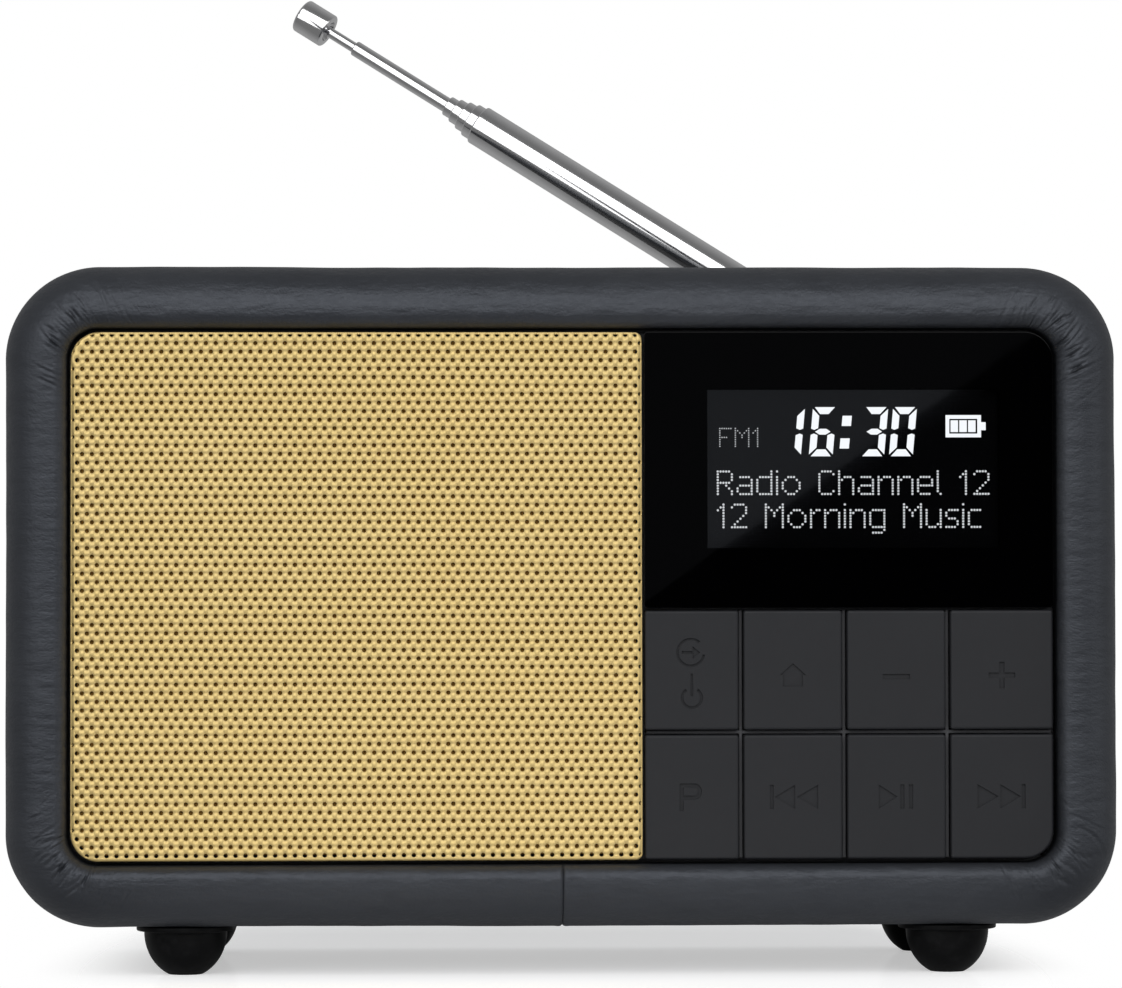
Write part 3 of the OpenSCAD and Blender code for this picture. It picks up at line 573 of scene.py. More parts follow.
SEAM_X = -0.15                            # where the leather's ends meet, under the cabinet
CREST_IN = 2.3                            # radius of the rim's inner edge
CREST_RHO = OPEN_RHO + CREST_IN + 0.2
CREST_DEEP = 8.0                          # depth of the rim's outer curve
BACK_R = 4.0
LIP_R = 1.0
FINE_STEP, COARSE_STEP = 0.16, 1.0        # between the leather's stations
FINE_REACH = 13.0                         # how far the fine stations reach from a corner
WALL_RHO = CORNER_R - 4.0                 # inner face of the cabinet wall
PANEL_IN = -CREST + 5.0                   # inner face of the rear panel


def evenly(a, b, count):
    return [(a[0] + (b[0] - a[0]) * i / count, a[1] + (b[1] - a[1]) * i / count) for i in range(count)]


def leather_profile():
    """Outer points of the section, then its inner points, as (distance from corner centre, depth)."""
    outer = evenly((OPEN_RHO, FACE_Z - 5), (OPEN_RHO, CREST - CREST_IN), 6)
    outer += arc(OPEN_RHO + CREST_IN, CREST - CREST_IN, CREST_IN, CREST_IN, 180, 90, 12)
    outer += arc(CREST_RHO, CREST - CREST_DEEP, CORNER_R - CREST_RHO, CREST_DEEP, 90, 0, 44)
    outer += evenly((CORNER_R, CREST - CREST_DEEP), (CORNER_R, BACK_R - CREST), 30)[1:]
    outer += arc(CORNER_R - BACK_R, BACK_R - CREST, BACK_R, BACK_R, 0, -90, 12)
    outer += arc(WALL_RHO, LIP_R - CREST, LIP_R, LIP_R, -90, -180, 6)[1:]
    outer += [(WALL_RHO - LIP_R, PANEL_IN - 0.5)]
    inner = [(WALL_RHO, PANEL_IN - 0.5), (WALL_RHO, LEATHER_T - CREST)]
    inner += arc(CORNER_R - BACK_R, BACK_R - CREST, BACK_R - LEATHER_T, BACK_R - LEATHER_T, -90, 0, 4)
    inner += arc(CREST_RHO, CREST - CREST_DEEP, CORNER_R - CREST_RHO - LEATHER_T, CREST_DEEP - LEATHER_T,
                 0, 90, 8)
    curl = CREST_IN - LEATHER_T
    inner += arc(OPEN_RHO + CREST_IN, CREST - CREST_IN, curl, curl, 90, 180, 4)
    inner += [(OPEN_RHO + LEATHER_T, FACE_Z - 5)]
    return np.array(outer), np.array(inner)


def spaced(a, b):
    """Stations from a to b, closer together near each end, where the creases are."""
    length = abs(b - a)
    marks, at = [], 0.0
    while at < length - 1e-6:
        marks.append(at)
        at += FINE_STEP if min(at, length - at) < FINE_REACH else COARSE_STEP
    return [a + (b - a) * m / length for m in marks]


def leather_stations():
    """Rows of (centre x, centre y, outward x, outward y, distance along the crest)."""
    rows = []
    along = 0.0

    def straight(start, end, normal):
        nonlocal along
        ax = 0 if start[0] != end[0] else 1
        for value in spaced(start[ax], end[ax]):
            point = (value, start[1]) if ax == 0 else (start[0], value)
            rows.append((*point, *normal, along + abs(value - start[ax])))
        along += abs(end[ax] - start[ax])

    def corner(cx, cy, start, count=96):
        nonlocal along
        for i in range(count):
            turn = math.radians(start + 90 * i / count)
            rows.append((cx, cy, math.cos(turn), math.sin(turn), along + CREST_RHO * math.pi / 2 * i / count))
        along += CREST_RHO * math.pi / 2

    at, outward, corners = (SEAM_X, -CORE_Y), (0, -1), []
    for turn, point in ((270, (CORE_X, -CORE_Y)), (0, (CORE_X, CORE_Y)), (90, (-CORE_X, CORE_Y)),
                        (180, (-CORE_X, -CORE_Y))):
        straight(at, point, outward)
        corners.append(along)
        corner(*point, turn)
        at, outward = point, (-outward[1], outward[0])
    straight(at, (SEAM_X, -CORE_Y), outward)
    rows.append((SEAM_X, -CORE_Y, *outward, along))
    return np.array(rows), corners, along


def leather_creases(u, s, corners):
    """Depth of the creases that the leather gathers into round the corners of the rim. They fan out
    from each corner, so beside it their outer ends lean towards it."""
    dice = random.Random(11)
    deep = np.zeros_like(u)
    for start, force in zip(corners, (0.85, 1.5, 1.15, 1.1)):
        middle = start + CREST_RHO * math.pi / 4
        for i in range(70):
            off = dice.gauss(0, 7.5)
            reach = dice.uniform(0.7, 2.7)
            centre = dice.uniform(6.3, 12.0)
            width = dice.uniform(0.13, 0.3)
            height = force * dice.uniform(0.015, 0.1) * math.exp(-(off / 13) ** 2)
            if i < 4:
                height, centre = 0.17 * force, 8.6
            lean = -0.75 * math.tanh(off / 9) + dice.uniform(-0.22, 0.22)
            bend = dice.uniform(-0.03, 0.03)
            near = np.abs(u[:, 0] - middle - off) < 9
            along, out = u[near], s[near]
            across = along - middle - off - lean * (out - centre) - bend * (out - centre) ** 2
            window = np.exp(-((out - centre) / reach) ** 2)
            beside = np.exp(-((np.abs(across) - 2.0 * width) / width) ** 2)
            deep[near] += height * window * (np.exp(-(across / width) ** 2) - 0.45 * beside)
    return deep


def leather_wrap():
    """The section carried round the cabinet, with its padding's swell, its creases and its seam."""
    outer, inner = leather_profile()
    rows, corners, total = leather_stations()
    profile = np.vstack([outer, inner])
    tangent = np.gradient(outer, axis=0)
    normal = np.stack([-tangent[:, 1], tangent[:, 0]], 1)
    normal /= np.linalg.norm(normal, axis=1)[:, None]
    normal *= -1 if normal[30, 1] < 0 else 1
    path = np.concatenate([[0], np.cumsum(np.linalg.norm(np.diff(profile, axis=0), axis=1))])
    u, s = np.meshgrid(rows[:, 4], path, indexing="ij")
    count = len(outer)
    rise = np.zeros(u.shape)
    rise[:, :count] = -leather_creases(u[:, :count], s[:, :count], corners)
    rho = np.broadcast_to(profile[:, 0], u.shape).copy()
    depth = np.broadcast_to(profile[:, 1], u.shape).copy()

    def plan():
        return [rows[:, None, axis] + rho * rows[:, None, axis + 2] for axis in (0, 1)]

    face = [[Vector(p) for p in row[:count]] for row in np.stack([*plan(), depth], -1)]
    broad, small = [np.array([[noise.noise(p / size) for p in row] for row in face]) for size in (17, 5.5)]
    swell = 0.13 * broad + 0.05 * small
    settled = np.clip((s[:, :count] - 3.0) / 3.0, 0, 1)
    settled *= np.clip((path[count - 1] - s[:, :count] - 4) / 4, 0, 1)
    from_seam = np.minimum(u, total - u)[:, :count]
    seam = 0.24 * np.exp(-(from_seam / 0.17) ** 2) - 0.05 * np.exp(-((from_seam - 0.7) / 0.4) ** 2)
    rise[:, :count] += (swell - 0.06 - seam) * settled
    rho[:, :count] += rise[:, :count] * normal[:, 0]
    depth[:, :count] += rise[:, :count] * normal[:, 1]
    x, y = plan()
    solid = Solid()
    solid.stack(np.stack([x, -depth, MID_Z + y], -1))
    middles = np.array(corners) + CREST_RHO * math.pi / 4
    offset = rows[:, 4][:, None] - middles[None, :]
    nearest = np.take_along_axis(offset, np.abs(offset).argmin(1)[:, None], 1)[:, 0]
    outside = np.sign(nearest) * np.clip(np.abs(nearest) - CREST_RHO * math.pi / 4, 0, None)
    lean = 0.7 * np.tanh(outside / 6) * np.exp(-np.abs(outside) / 30)
    grain = np.stack([u + lean[:, None] * (s - 10), s], -1).reshape(-1, 2)
    solid.build("leather_skin", "leather", ["leather_wrap"], smooth=50, uv=grain)


# ---- speaker grille ----

HOLE_PITCH = 1.587                        # between the holes of a row
HOLE_ROW = 1.371                          # between rows
HOLE_R = 0.355
HOLE_SIDES = 12
SHEET_T = 0.3
FOLD_R = 0.5
FLANGE = 2.4                              # how far the sheet goes back round its edge
OUTER_CORNER_R, INNER_CORNER_R = 4.6, 1.2  # on the cabinet's side, and beside the window


def sheet_distance(points, low, high, radii):
    """Signed distance outside a rounded rectangle, the nearest point on it, and the way out."""
    radius = np.where(points[:, 0] < (low[0] + high[0]) / 2, radii[0], radii[1])
    anchor = np.clip(points, np.array(low) + radius[:, None], np.array(high) - radius[:, None])
    away = points - anchor
    length = np.linalg.norm(away, axis=1)
    inside_box = length < 1e-9
    way = away / np.where(inside_box, 1, length)[:, None]
    distance = np.where(inside_box, -1.0, length - radius)
    return distance, anchor + way * radius[:, None], way


def speaker_grille():
    left, bottom, right, top = front_box("speaker_grille")
    flat_low = (left + FOLD_R, bottom + FOLD_R)
    flat_high = (right - FOLD_R, top - FOLD_R)
    radii = (OUTER_CORNER_R - FOLD_R, INNER_CORNER_R - FOLD_R)
    bend = FOLD_R * math.pi / 2
    spread = bend + FLANGE

    def outline(distance):
        a, b = radii[0] + distance, radii[1] + distance
        return rounded(flat_low[0] - distance, flat_low[1] - distance, flat_high[0] + distance,
                       flat_high[1] + distance, (a, b, b, a), 14)

    loops = [outline(d) for d in (0, bend / 4, bend / 2, bend * 3 / 4, bend, spread)]
    first = (left + 2.65, top - 1.8)
    holes = []
    for row in range(-3, int((top - bottom) / HOLE_ROW) + 3):
        shift = 0 if row % 2 == 0 else HOLE_PITCH / 2
        for column in range(-5, int((right - left) / HOLE_PITCH) + 4):
            hole = (first[0] + column * HOLE_PITCH + shift, first[1] - row * HOLE_ROW)
            distance = sheet_distance(np.array([hole]), flat_low, flat_high, radii)[0][0]
            if distance < spread - 0.8:
                holes.append(hole)
    step = 2 * math.pi / HOLE_SIDES
    for cx, cy in holes:
        loops.append([(cx + HOLE_R * math.cos(i * step), cy + HOLE_R * math.sin(i * step))
                      for i in range(HOLE_SIDES)])
    points, triangles = tessellate(loops)
    flat = np.array(points)
    triangles = np.array(triangles)
    middle = flat[triangles].mean(1)
    row = np.rint((first[1] - middle[:, 1]) / HOLE_ROW)
    in_hole = np.zeros(len(middle), bool)
    for near in (-1, 0, 1):
        line = row + near
        shift = np.where(line % 2 == 0, 0, HOLE_PITCH / 2)
        column = np.rint((middle[:, 0] - first[0] - shift) / HOLE_PITCH)
        dx = middle[:, 0] - (first[0] + shift + column * HOLE_PITCH)
        dy = middle[:, 1] - (first[1] - line * HOLE_ROW)
        sector = np.mod(np.arctan2(dy, dx), step) - step / 2
        in_hole |= np.hypot(dx, dy) * np.cos(sector) < HOLE_R * math.cos(step / 2)
    edge_far = sheet_distance(middle, flat_low, flat_high, radii)[0]
    in_hole &= edge_far < spread - 0.35
    triangles = triangles[~in_hole & (edge_far < spread)]
    distance, base, way = sheet_distance(flat, flat_low, flat_high, radii)
    turn = np.clip(distance / FOLD_R, 0, math.pi / 2)
    drop = FOLD_R * (1 - np.cos(turn)) + np.clip(distance - bend, 0, None)
    out = base + way * (FOLD_R * np.sin(turn))[:, None]
    plan = np.where((distance > 0)[:, None], out, flat)
    solid = Solid()
    solid.ring([front(p[0], p[1], FACE_Z - d) for p, d in zip(plan, drop)])
    solid.faces = [tuple(int(i) for i in t) for t in triangles]
    piece = solid.build("grille_sheet", "grille_gold", ["speaker_grille"], smooth=40)
    thick = piece.modifiers.new("sheet", "SOLIDIFY")
    thick.thickness = SHEET_T * MM
    thick.offset = -1


# ---- window and display ----

def display_window():
    solid = Solid()
    soft_plate(solid, front_box("display_window"), (0.6, 0.6, OUTER_CORNER_R, 0.6), FACE_Z - 2, FACE_Z, 0.02)
    solid.build("window_pane", "window_gloss", ["display_window"])


SIDES = "|#....#"                         # a row of a round letter's two sides
STEM = "|#....."
GLYPHS = {
    "R": "#####." + SIDES * 3 + "|#####.|#..#..|#...#." + SIDES * 2,
    "C": ".####." + SIDES + STEM * 5 + SIDES + "|.####.",
    "M": "#.....#|##...##|#.#.#.#|#..#..#|#..#..#" + "|#.....#" * 4,
    "F": "######" + STEM * 3 + "|####.." + STEM * 4,
    "1": "..#.|.##.|#.#." + "|..#." * 6,
    "2": ".####." + SIDES + "|.....#" * 2 + "|....#.|...#..|..#...|.#....|######",
    "a": "||.####." + "|.....#" * 2 + "|.#####" + SIDES * 2 + "|.#####",
    "c": "||.####" + "|#...." * 5 + "|.####",
    "d": ".....#|.....#|.#####" + SIDES * 5 + "|.#####",
    "e": "||.####." + SIDES * 2 + "|######" + STEM * 2 + "|.####.",
    "g": "||.#####" + SIDES * 5 + "|.#####|.....#|.####.",
    "h": "#....." + STEM + "|#.###.|##...#" + SIDES * 5,
    "i": "#|" + "|#" * 7,
    "l": "#." + "|#." * 7 + "|.#",
    "n": "||#.###.|##...#" + SIDES * 5,
    "o": "||..###..|.#...#." + "|#.....#" * 3 + "|.#...#.|..###..",
    "r": "||#.##|##.." + "|#..." * 5,
    "s": "||.####|#....|#....|.###.|....#|....#|####.",
    "u": "|" + SIDES * 5 + "|#...##|.###.#",
    " ": "....",
}


def prism(solid, loop, z0, z1):
    solid.stack([[front(x, y, z) for x, y in loop] for z in (z0, z1)])


def dot_text(solid, text, left, top, pitch, dot_r, z0, z1):
    """Writes text in round dots; top is the height of the capitals' upper row."""
    x = left
    for letter in text:
        rows = GLYPHS[letter].split("|")
        for r, row in enumerate(rows):
            for c in [c for c, mark in enumerate(row) if mark == "#"]:
                prism(solid, arc(x + c * pitch, top - r * pitch, dot_r, dot_r, 0, 315, 7), z0, z1)
        x += (max(len(row) for row in rows) + 1) * pitch


def seven_segments(solid, digit, left, bottom, z0, z1):
    """One slanted digit made of seven bars."""
    w, h, t, g, slant = 3.85, 7.95, 1.12, 0.3, 0.09
    m = h / 2

    def upside_down(shape):
        return [(x, h - y) for x, y in shape]

    top = [(g, h), (w - g, h), (w - t - g * 0.4, h - t), (t + g * 0.4, h - t)]
    upper_left = [(0, h - g), (t, h - t - g), (t, m + t * 0.5), (t * 0.45, m + g), (0, m + t * 0.45)]
    upper_right = [(w - x, y) for x, y in upper_left]
    a, i, k = t * 0.6, t + g, t * 0.42
    bars = {
        "a": top, "b": upper_right, "c": upside_down(upper_right), "d": upside_down(top),
        "e": upside_down(upper_left), "f": upper_left,
        "g": [(a, m), (i, m + k), (w - i, m + k), (w - a, m), (w - i, m - k), (i, m - k)],
    }
    lit = {"1": "bc", "6": "acdefg", "3": "abcdg", "0": "abcdef"}[digit]
    for name in lit:
        prism(solid, [(left + x + slant * y, bottom + y) for x, y in bars[name]], z0, z1)


def display_figures():
    z1 = -panel_low.y + 0.1
    z0 = z1 - 0.08
    left, right = SCREEN_LOW.x, SCREEN_HIGH.x
    top = SCREEN_HIGH.z - MID_Z
    bright = Solid()
    clock_left, clock_bottom = left + 13.8, top - 10.85
    for digit, step in (("1", -2.4), ("6", 2.75), ("3", 11.1), ("0", 15.75)):
        seven_segments(bright, digit, clock_left + step, clock_bottom, z0, z1)
    for dx, dy in ((8.1, 4.9), (7.75, 1.25)):
        x, y = clock_left + dx, clock_bottom + dy
        prism(bright, [(x, y), (x + 1.5, y), (x + 1.65, y + 1.65), (x + 0.15, y + 1.65)], z0, z1)
    bx, by, bw, bh, bt = right - 8.45, top - 7.8, 5.75, 3.6, 0.6
    parts = [(0, 0, bw, bt), (0, bh - bt, bw, bh), (0, bt, bt, bh - bt), (bw - bt, bt, bw, bh - bt),
             (bw, 1.15, bw + 0.75, bh - 1.15)]
    parts += [(x, 0.85, x + 1.2, bh - 0.85) for x in (0.82, 2.24, 3.66)]
    for x0, y0, x1, y1 in parts:
        prism(bright, moved([(x0, y0), (x1, y0), (x1, y1), (x0, y1)], bx, by), z0, z1)
    bright.build("display_clock", "display", material=figure_material("figures_bright", 1.3))
    lines = Solid()
    dot_text(lines, "Radio Channel 12", left + 1.8, top - 13.3, 0.457, 0.185, z0, z1)
    dot_text(lines, "12 Morning Music", left + 1.8, top - 18.65, 0.457, 0.185, z0, z1)
    lines.build("display_text", "display", material=figure_material("figures_dots", 0.85))
    small = Solid()
    dot_text(small, "FM1", left + 2.15, top - 6.35, 0.36, 0.12, z0, z1)
    small.build("display_band", "display", material=figure_material("figures_small", 0.55))


# ---- keys ----

def bar(x, y, w, h):
    return [(x - w / 2, y - h / 2), (x + w / 2, y - h / 2), (x + w / 2, y + h / 2), (x - w / 2, y + h / 2)]


def triangle(x, w, h):
    return [(x, h / 2), (x, -h / 2), (x + w, 0)]


def broken_ring(radius, thick, start, end):
    inner = radius - thick
    return arc(0, 0, radius, radius, start, end, 24) + arc(0, 0, inner, inner, end, start, 24)


def moved(shape, dx, dy):
    return [(x + dx, y + dy) for x, y in shape]


def power_mark():
    source = [broken_ring(2.35, 0.4, 50, 350), triangle(0.3, 1.2, 2), bar(-0.6, 0, 1.7, 0.45)]
    power = [broken_ring(1.8, 0.45, 125, 415), bar(0, 1.3, 0.45, 2)]
    marks = [moved(s, -0.15, 2.85) for s in source] + [moved(s, 0, -4.45) for s in power]
    return marks + [bar(0, -1.35, 0.4, 1.6)]


def plus_mark():
    a, b = 2.15, 0.42
    return [[(-a, -b), (-b, -b), (-b, -a), (b, -a), (b, -b), (a, -b), (a, b), (b, b), (b, a), (-b, a),
             (-b, b), (-a, b)]]


def preset_mark():
    bowl = [(-1.35, 2.2)] + arc(0.3, 0.9, 1.3, 1.3, 90, -90, 16) + [(-1.35, -0.4), (-1.35, 0.25)]
    bowl += arc(0.3, 0.9, 0.65, 0.65, -90, 90, 12) + [(-1.35, 1.55), (-1.35, 2.19)]
    stem = [(-2.0, 2.2), (-1.35, 2.2), (-1.35, -2.2), (-2.0, -2.2)]
    return [bowl, stem]


def skip_mark(way):
    shapes = [triangle(-4, 3.4, 3.9), triangle(-0.3, 3.3, 3.9), bar(3.45, 0, 0.6, 3.9)]
    return [[(way * x, y) for x, y in s] for s in shapes]


MARK_DROP = 0.9                           # the upper row's marks sit this far below the middle
KEY_EDGE = 0.42
CAP_T = 2.8                               # thickness of a key's cap, in front of its round stem
STEM_R = 6.0
KEY_MARKS = {
    "key_power": power_mark(),
    "key_home": [[(-2.1, 0.1), (-1.6, 0.1), (-1.6, -1.75), (1.6, -1.75), (1.6, 0.1), (2.1, 0.1), (0, 2)]],
    "key_minus": [bar(0, -0.2, 4.4, 0.85)],
    "key_plus": plus_mark(),
    "key_preset": preset_mark(),
    "key_previous": skip_mark(-1),
    "key_play_pause": [triangle(-2.9, 3, 3.9), bar(0.9, 0, 0.65, 3.9), bar(2.3, 0, 0.65, 3.9)],
    "key_next": skip_mark(1),
}


def keys():
    bottom_row = min(round(front_box(name)[1], 1) for name in KEY_MARKS)
    for name, marks in KEY_MARKS.items():
        x0, y0, x1, y1 = front_box(name)
        drop = MARK_DROP if round(y0, 1) > bottom_row and name != "key_power" else 0
        middle = ((x0 + x1) / 2, (y0 + y1) / 2)
        centre = (middle[0], middle[1] - drop)
        corner = 4.5 if name == "key_next" else 0.45
        solid = Solid()
        soft_plate(solid, (x0, y0, x1, y1), (0.45, corner, 0.45, 0.45), FACE_Z - CAP_T, FACE_Z, KEY_EDGE,
                   [moved(m, *centre) for m in marks], 0.32)
        prism(solid, arc(*middle, STEM_R, STEM_R, 0, 352.5, 47), -box_mm(name)[1].y, FACE_Z - CAP_T + 0.01)
        solid.build(name + "_cap", "key_plastic", [name], name + "_body")


# ---- feet ----

def feet():
    for node in ("front_feet", "rear_feet"):
        low, high = box_mm(node)
        flange_r = (high.y - low.y) / 2
        top = high.z
        dome_r, pad_r = 6.75, 2.8
        solid = Solid()
        for x in (low.x + flange_r, high.x - flange_r):
            place = Matrix.Translation((x, (low.y + high.y) / 2, 0))
            centre = top - 1.1
            dome = arc(0, centre, dome_r, centre / math.sqrt(1 - (pad_r / dome_r) ** 2),
                       -math.degrees(math.acos(pad_r / dome_r)), 0, 20)
            profile = [(0.01, 4), (2.0, 4), (2.2, 3.7), (2.2, 0.25), (2.4, 0)] + dome
            profile += [(dome_r, top - 1.05), (dome_r + 0.15, top - 0.9), (flange_r - 0.25, top - 0.9)]
            profile += arc(flange_r - 0.25, top - 0.65, 0.25, 0.25, -90, 0, 4)
            profile += arc(flange_r - 0.2, top - 0.2, 0.2, 0.2, 0, 90, 4) + [(0.01, top)]
            solid.lathe(profile, place)
        solid.build(node + "_rubber", "foot_rubber", [node])


# ---- antenna ----

TUBE_AXIS = Vector(JOINTS["antenna_section_2_slide"]["axis"]).normalized()
PIN = Vector(JOINTS["antenna_tilt"]["pos_m"]) / MM
PIN_AXIS = Vector(JOINTS["antenna_tilt"]["axis"]).normalized()


def tube_place():
    """Local z along the tubes, local x along the hinge pin, from the pin's middle."""
    x_axis = -PIN_AXIS
    y_axis = TUBE_AXIS.cross(x_axis)
    turn = Matrix((x_axis, y_axis, TUBE_AXIS)).transposed().to_4x4()
    return Matrix.Translation(PIN) @ turn


def tube_span(node):
    """Lowest and highest place along the tubes, and largest radius."""
    points = np.array([v.co for v in NODES[node].data.vertices]) / MM - np.array(PIN)
    height = points @ np.array(TUBE_AXIS)
    radius = np.linalg.norm(points - height[:, None] * np.array(TUBE_AXIS), axis=1)
    return height.min(), height.max(), radius.max()


def crimp(mouth, top):
    """A tube's end, turned in to guide the next tube."""
    return [(mouth, top - 0.7), (mouth, top - 0.08), (mouth + 0.06, top)]


def antenna():
    place = tube_place()
    wall, step, collar = 0.3, 0.45, 6.0
    for i in range(2, 7):
        node = f"antenna_section_{i}"
        foot, top, radius = tube_span(node)
        r = radius - 0.1
        mouth = r - step + 0.05
        profile = [(r - wall, foot), (r - wall, top - 1)] + crimp(mouth, top)
        profile += arc(r - 0.22, top - 0.22, 0.22, 0.22, 90, 0, 5)
        profile += [(r, foot + collar), (r + 0.1, foot + collar - 0.3), (r + 0.1, foot), (r - wall, foot)]
        solid = Solid()
        solid.lathe(profile, place, 64, capped=False)
        solid.build(f"tube_{i}", "antenna_chrome", [node], node + "_body", smooth=30)
    top, r = tube_span("antenna_barrel")[1:]
    start, mouth = 6.2, r - step + 0.05
    profile = [(0.01, start), (r - 0.5, start)] + arc(r - 0.5, start + 0.5, 0.5, 0.5, -90, 0, 5)
    profile += arc(r - 0.3, top - 0.3, 0.3, 0.3, 0, 90, 6)
    profile += crimp(mouth, top)[::-1] + [(r - wall, top - 1), (r - wall, 10.2), (0.01, 10.2)]
    solid = Solid()
    solid.lathe(profile, place)
    tongue = arc(0, 0, 2.8, 2.8, 180, 360, 24) + [(2.8, start + 0.3), (-2.8, start + 0.3)]
    hole = arc(0, 0, 1, 1, 0, 352.5, 47)
    tongue_plate(solid, tongue, hole, 1.25, place)
    solid.build("tube_barrel", "antenna_chrome", ["antenna_barrel"], "antenna_barrel_body", smooth=30)
    foot, top, radius = tube_span("antenna_rod")
    r = radius - 0.1
    solid = Solid()
    profile = [(0.01, foot), (radius, foot), (radius, foot + collar), (r, foot + collar + 0.1), (r, top)]
    solid.lathe(profile + [(0.01, top)], place, 40)
    solid.build("thin_rod", "antenna_chrome", ["antenna_rod"], "antenna_rod_body", smooth=30)
    foot, top, radius = tube_span("antenna_tip")
    profile = [(r + 0.03, foot + 4), (r + 0.03, foot + 1.0), (1.5, foot + 0.9), (1.85, foot + 0.35)]
    profile += [(1.95, foot), (radius - 0.35, foot)] + arc(radius - 0.35, foot + 0.35, 0.35, 0.35, -90, 0, 5)
    profile += arc(radius - 0.5, top - 0.5, 0.5, 0.5, 0, 90, 6) + [(0.01, top), (0.01, foot + 4.1)]
    solid = Solid()
    solid.lathe(profile, place)
    solid.build("end_knob", "antenna_chrome", ["antenna_tip"], "antenna_rod_body", smooth=30)


def tongue_plate(solid, outline, hole, half, place):
    """The barrel's foot: a plate across the hinge pin with the pin's hole through it."""
    points, triangles = tessellate([outline, hole], outline)
    kept = [t for t in triangles if not inside(middle_of(points, t), hole)]
    near, far = [solid.ring([place @ Vector((x, *p)) for p in points]) for x in (-half, half)]
    solid.faces += [tuple(side[i] for i in t) for side in (near, far) for t in kept]
    for (a, b), meeting in shared_edges(kept, kept):
        if len(meeting) == 1:
            solid.faces.append((near[a], near[b], far[b], far[a]))


# ---- bass port ----

def bass_port():
    low, high = box_mm("bass_port")
    centre = ((low.x + high.x) / 2, high.y, (low.z + high.z) / 2)
    inward = Matrix.Translation(centre) @ Matrix.Rotation(math.radians(90), 4, "X")
    rim = (high.x - low.x) / 2
    deep = high.y - low.y
    profile = arc(rim - 1.2, 0.8, 1.2, 0.8, 0, -90, 8) + arc(12.5, 4.8, 4, 4.8, -90, -180, 20)
    profile += [(8.5, deep), (10.4, deep), (10.4, 0.86), (rim, 0.86), (rim, 0.8)]
    solid = Solid()
    solid.lathe(profile, inward, 96, capped=False)
    solid.build("port_flare", "black_plastic", ["bass_port"], smooth=40)


# ---- studio ----

STUDIO_AIM = Vector((0, 0, 0.06))           # in metres, as all of the studio is


def emitter(name, place, size, power):
    lamp = bpy.data.lights.new(name, "AREA")
    lamp.shape = "RECTANGLE"
    lamp.size, lamp.size_y = size
    lamp.energy = power
    holder = placed(name, lamp)
    holder.location = place
    holder.rotation_euler = (STUDIO_AIM - Vector(place)).to_track_quat("-Z", "Y").to_euler()


def sheet(name, corners, material):
    """A flat part of the studio."""
    mesh = bpy.data.meshes.new(name)
    mesh.from_pydata(corners, [], [(0, 1, 2, 3)])
    mesh.materials.append(material)
    made = placed(name, mesh)
    return made


def floor():
    """A pale plain table that glows a little under the cabinet and fades into the white beyond; its glow is
    dimmed further back under the cabinet as painted shade.
    """
    g = Graph("studio_floor_white")
    place = g.place()
    cloud = g.noise(place, 0.004, 3)
    tone = g.blend(cloud, (0.80, 0.80, 0.80), (0.83, 0.83, 0.83))
    rough = g.remap(g.noise(place, 0.05, 4), 0.3, 0.7, 0.06, 0.1)
    matt = g.node("BsdfDiffuse", {"Color": tone})
    seen = g.node("LightPath").outputs["Is Camera Ray"]
    back = g.node("SeparateXYZ", {0: place}).outputs["Y"]
    # painted shade: the glow seen by the camera dims from 15 mm to 65 mm behind the middle, under the
    # cabinet's back
    strength = g.remap(back, 15.0, 65.0, 0.515, 0.4)
    glow = g.node("Emission", {"Strength": g.math("MULTIPLY", seen, strength)})
    gloss = g.node("BsdfGlossy", {"Color": (0.9, 0.9, 0.9, 1), "Roughness": rough})
    table = g.mix(0.12, g.node("AddShader", {0: matt, 1: glow}), gloss)
    far = g.node("VectorMath", {0: g.place((1.9, 0.8, 1))}, operation="LENGTH").outputs["Value"]
    fade = g.node("MapRange", {"Value": far, "From Min": 118.0, "From Max": 170.0},
                  interpolation_type="SMOOTHSTEP")
    half = 0.45
    corners = [(-half, -half, 0), (half, -half, 0), (half, half, 0), (-half, half, 0)]
    sheet("studio_floor", corners, g.output(g.mix(fade, table, g.node("BsdfTransparent"))))


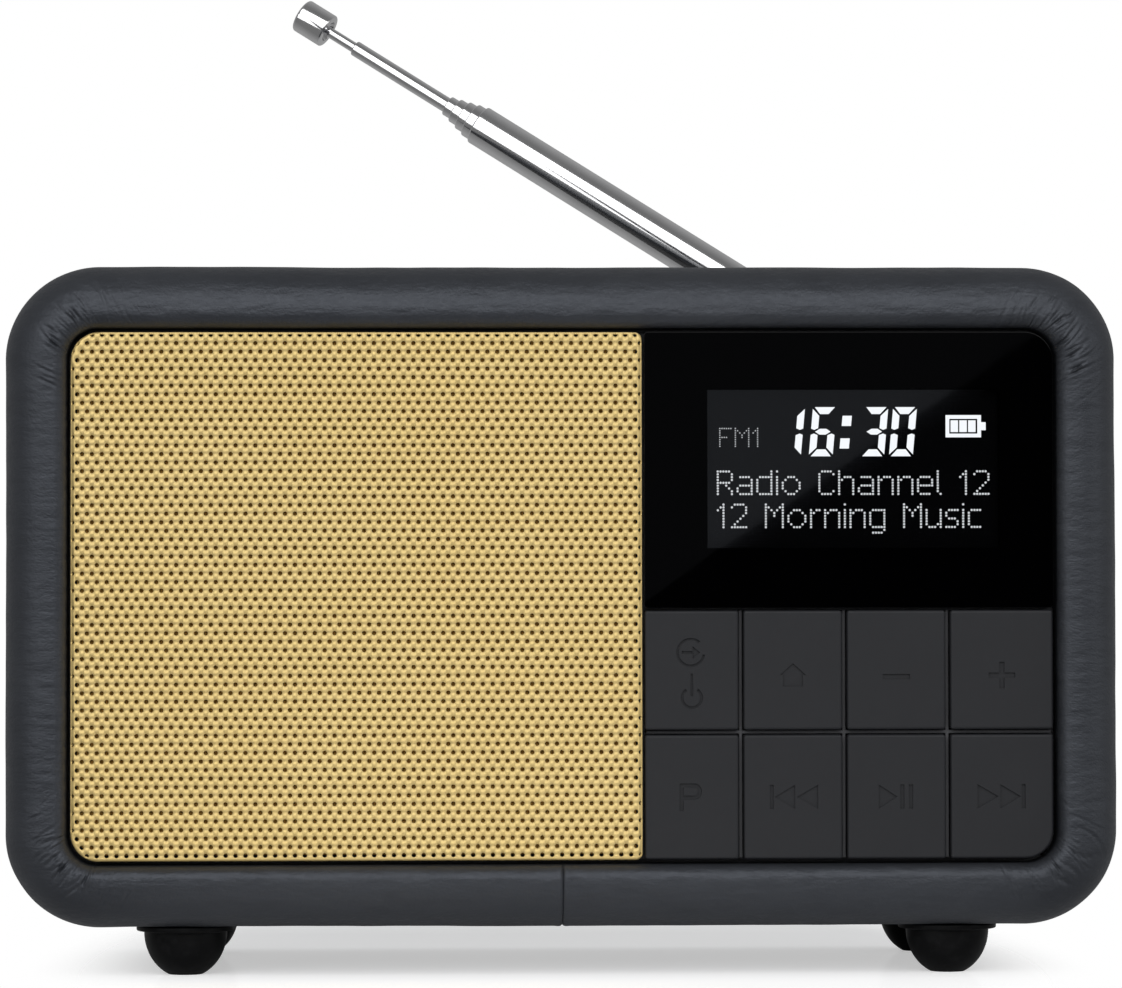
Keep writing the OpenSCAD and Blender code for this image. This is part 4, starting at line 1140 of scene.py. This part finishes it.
def gloss_card():
    """A faint card behind the camera whose edge the window mirrors as a diagonal."""
    back = -2.0
    edge = [Vector((0.1133, back, 0.0638)), Vector((0.3452, back, 0.2213))]
    slope = edge[1] - edge[0]
    low = edge[0] - slope * 4
    high = edge[1] + slope * 4
    up = Vector((-slope.z, 0, slope.x)) * 6
    g = Graph("gloss_card_light")
    glow = g.node("Emission", {"Color": (0.9, 0.93, 1, 1), "Strength": 0.055})
    card = sheet("gloss_card", [low, high, high + up, low + up], g.output(glow))
    card.visible_camera = False
    card.visible_diffuse = False
    card.visible_shadow = False


def world():
    """White to the camera, soft to matt surfaces, and dark behind the camera to glossy ones."""
    g = Graph("studio_world", bpy.data.worlds)
    path = g.node("LightPath").outputs
    coords = g.node("TexCoord").outputs["Generated"]
    back = g.node("SeparateXYZ", {0: coords}).outputs["Y"]
    strength = g.math("MULTIPLY", g.remap(back, -0.985, -0.95, 0, 1), g.remap(back, -0.3, 0.6, 0.19, 0.36))
    soft = g.node("Background", {"Color": (0.97, 0.985, 1, 1), "Strength": 0.5})
    mirrored = g.node("Background", {"Color": (1, 1, 1, 1), "Strength": strength})
    white = g.node("Background", {"Color": (1, 1, 1, 1), "Strength": 1.0})
    lit = g.mix(path["Is Glossy Ray"], soft, mirrored)
    bpy.context.scene.world = g.output(g.mix(path["Is Camera Ray"], lit, white), "OutputWorld")


def camera():
    """Low and level, a little left of the cabinet's middle, aimed slightly up and right."""
    lens = bpy.data.cameras.new("camera")
    lens.lens = 143.26
    lens.sensor_width = 36
    lens.clip_start = 0.01
    lens.clip_end = 50
    eye = placed("camera", lens)
    yaw, pitch, roll = math.radians(1.647), math.radians(1.355), math.radians(-0.1)
    turn = Matrix.Rotation(-yaw, 4, "Z") @ Matrix.Rotation(math.pi / 2 + pitch, 4, "X")
    eye.matrix_world = Matrix.Translation((-0.021, -0.75, 0.0608)) @ turn @ Matrix.Rotation(roll, 4, "Z")
    bpy.context.scene.camera = eye


def studio():
    world()
    floor()
    gloss_card()
    emitter("key_softbox", (0, -1.68, 1.12), (2.4, 1.45), 26)
    emitter("front_softbox", (0, -1.7, 0.42), (1.6, 0.24), 1.7)
    emitter("left_softbox", (-1.05, -1.1, 0.3), (0.7, 0.7), 2.6)
    emitter("right_softbox", (1.4, -0.6, 0.3), (0.7, 0.7), 2)
    bpy.context.scene.view_settings.view_transform = "Standard"
    camera()


paint_frame()
leather_wrap()
speaker_grille()
display_window()
display_figures()
keys()
feet()
antenna()
bass_port()
studio()
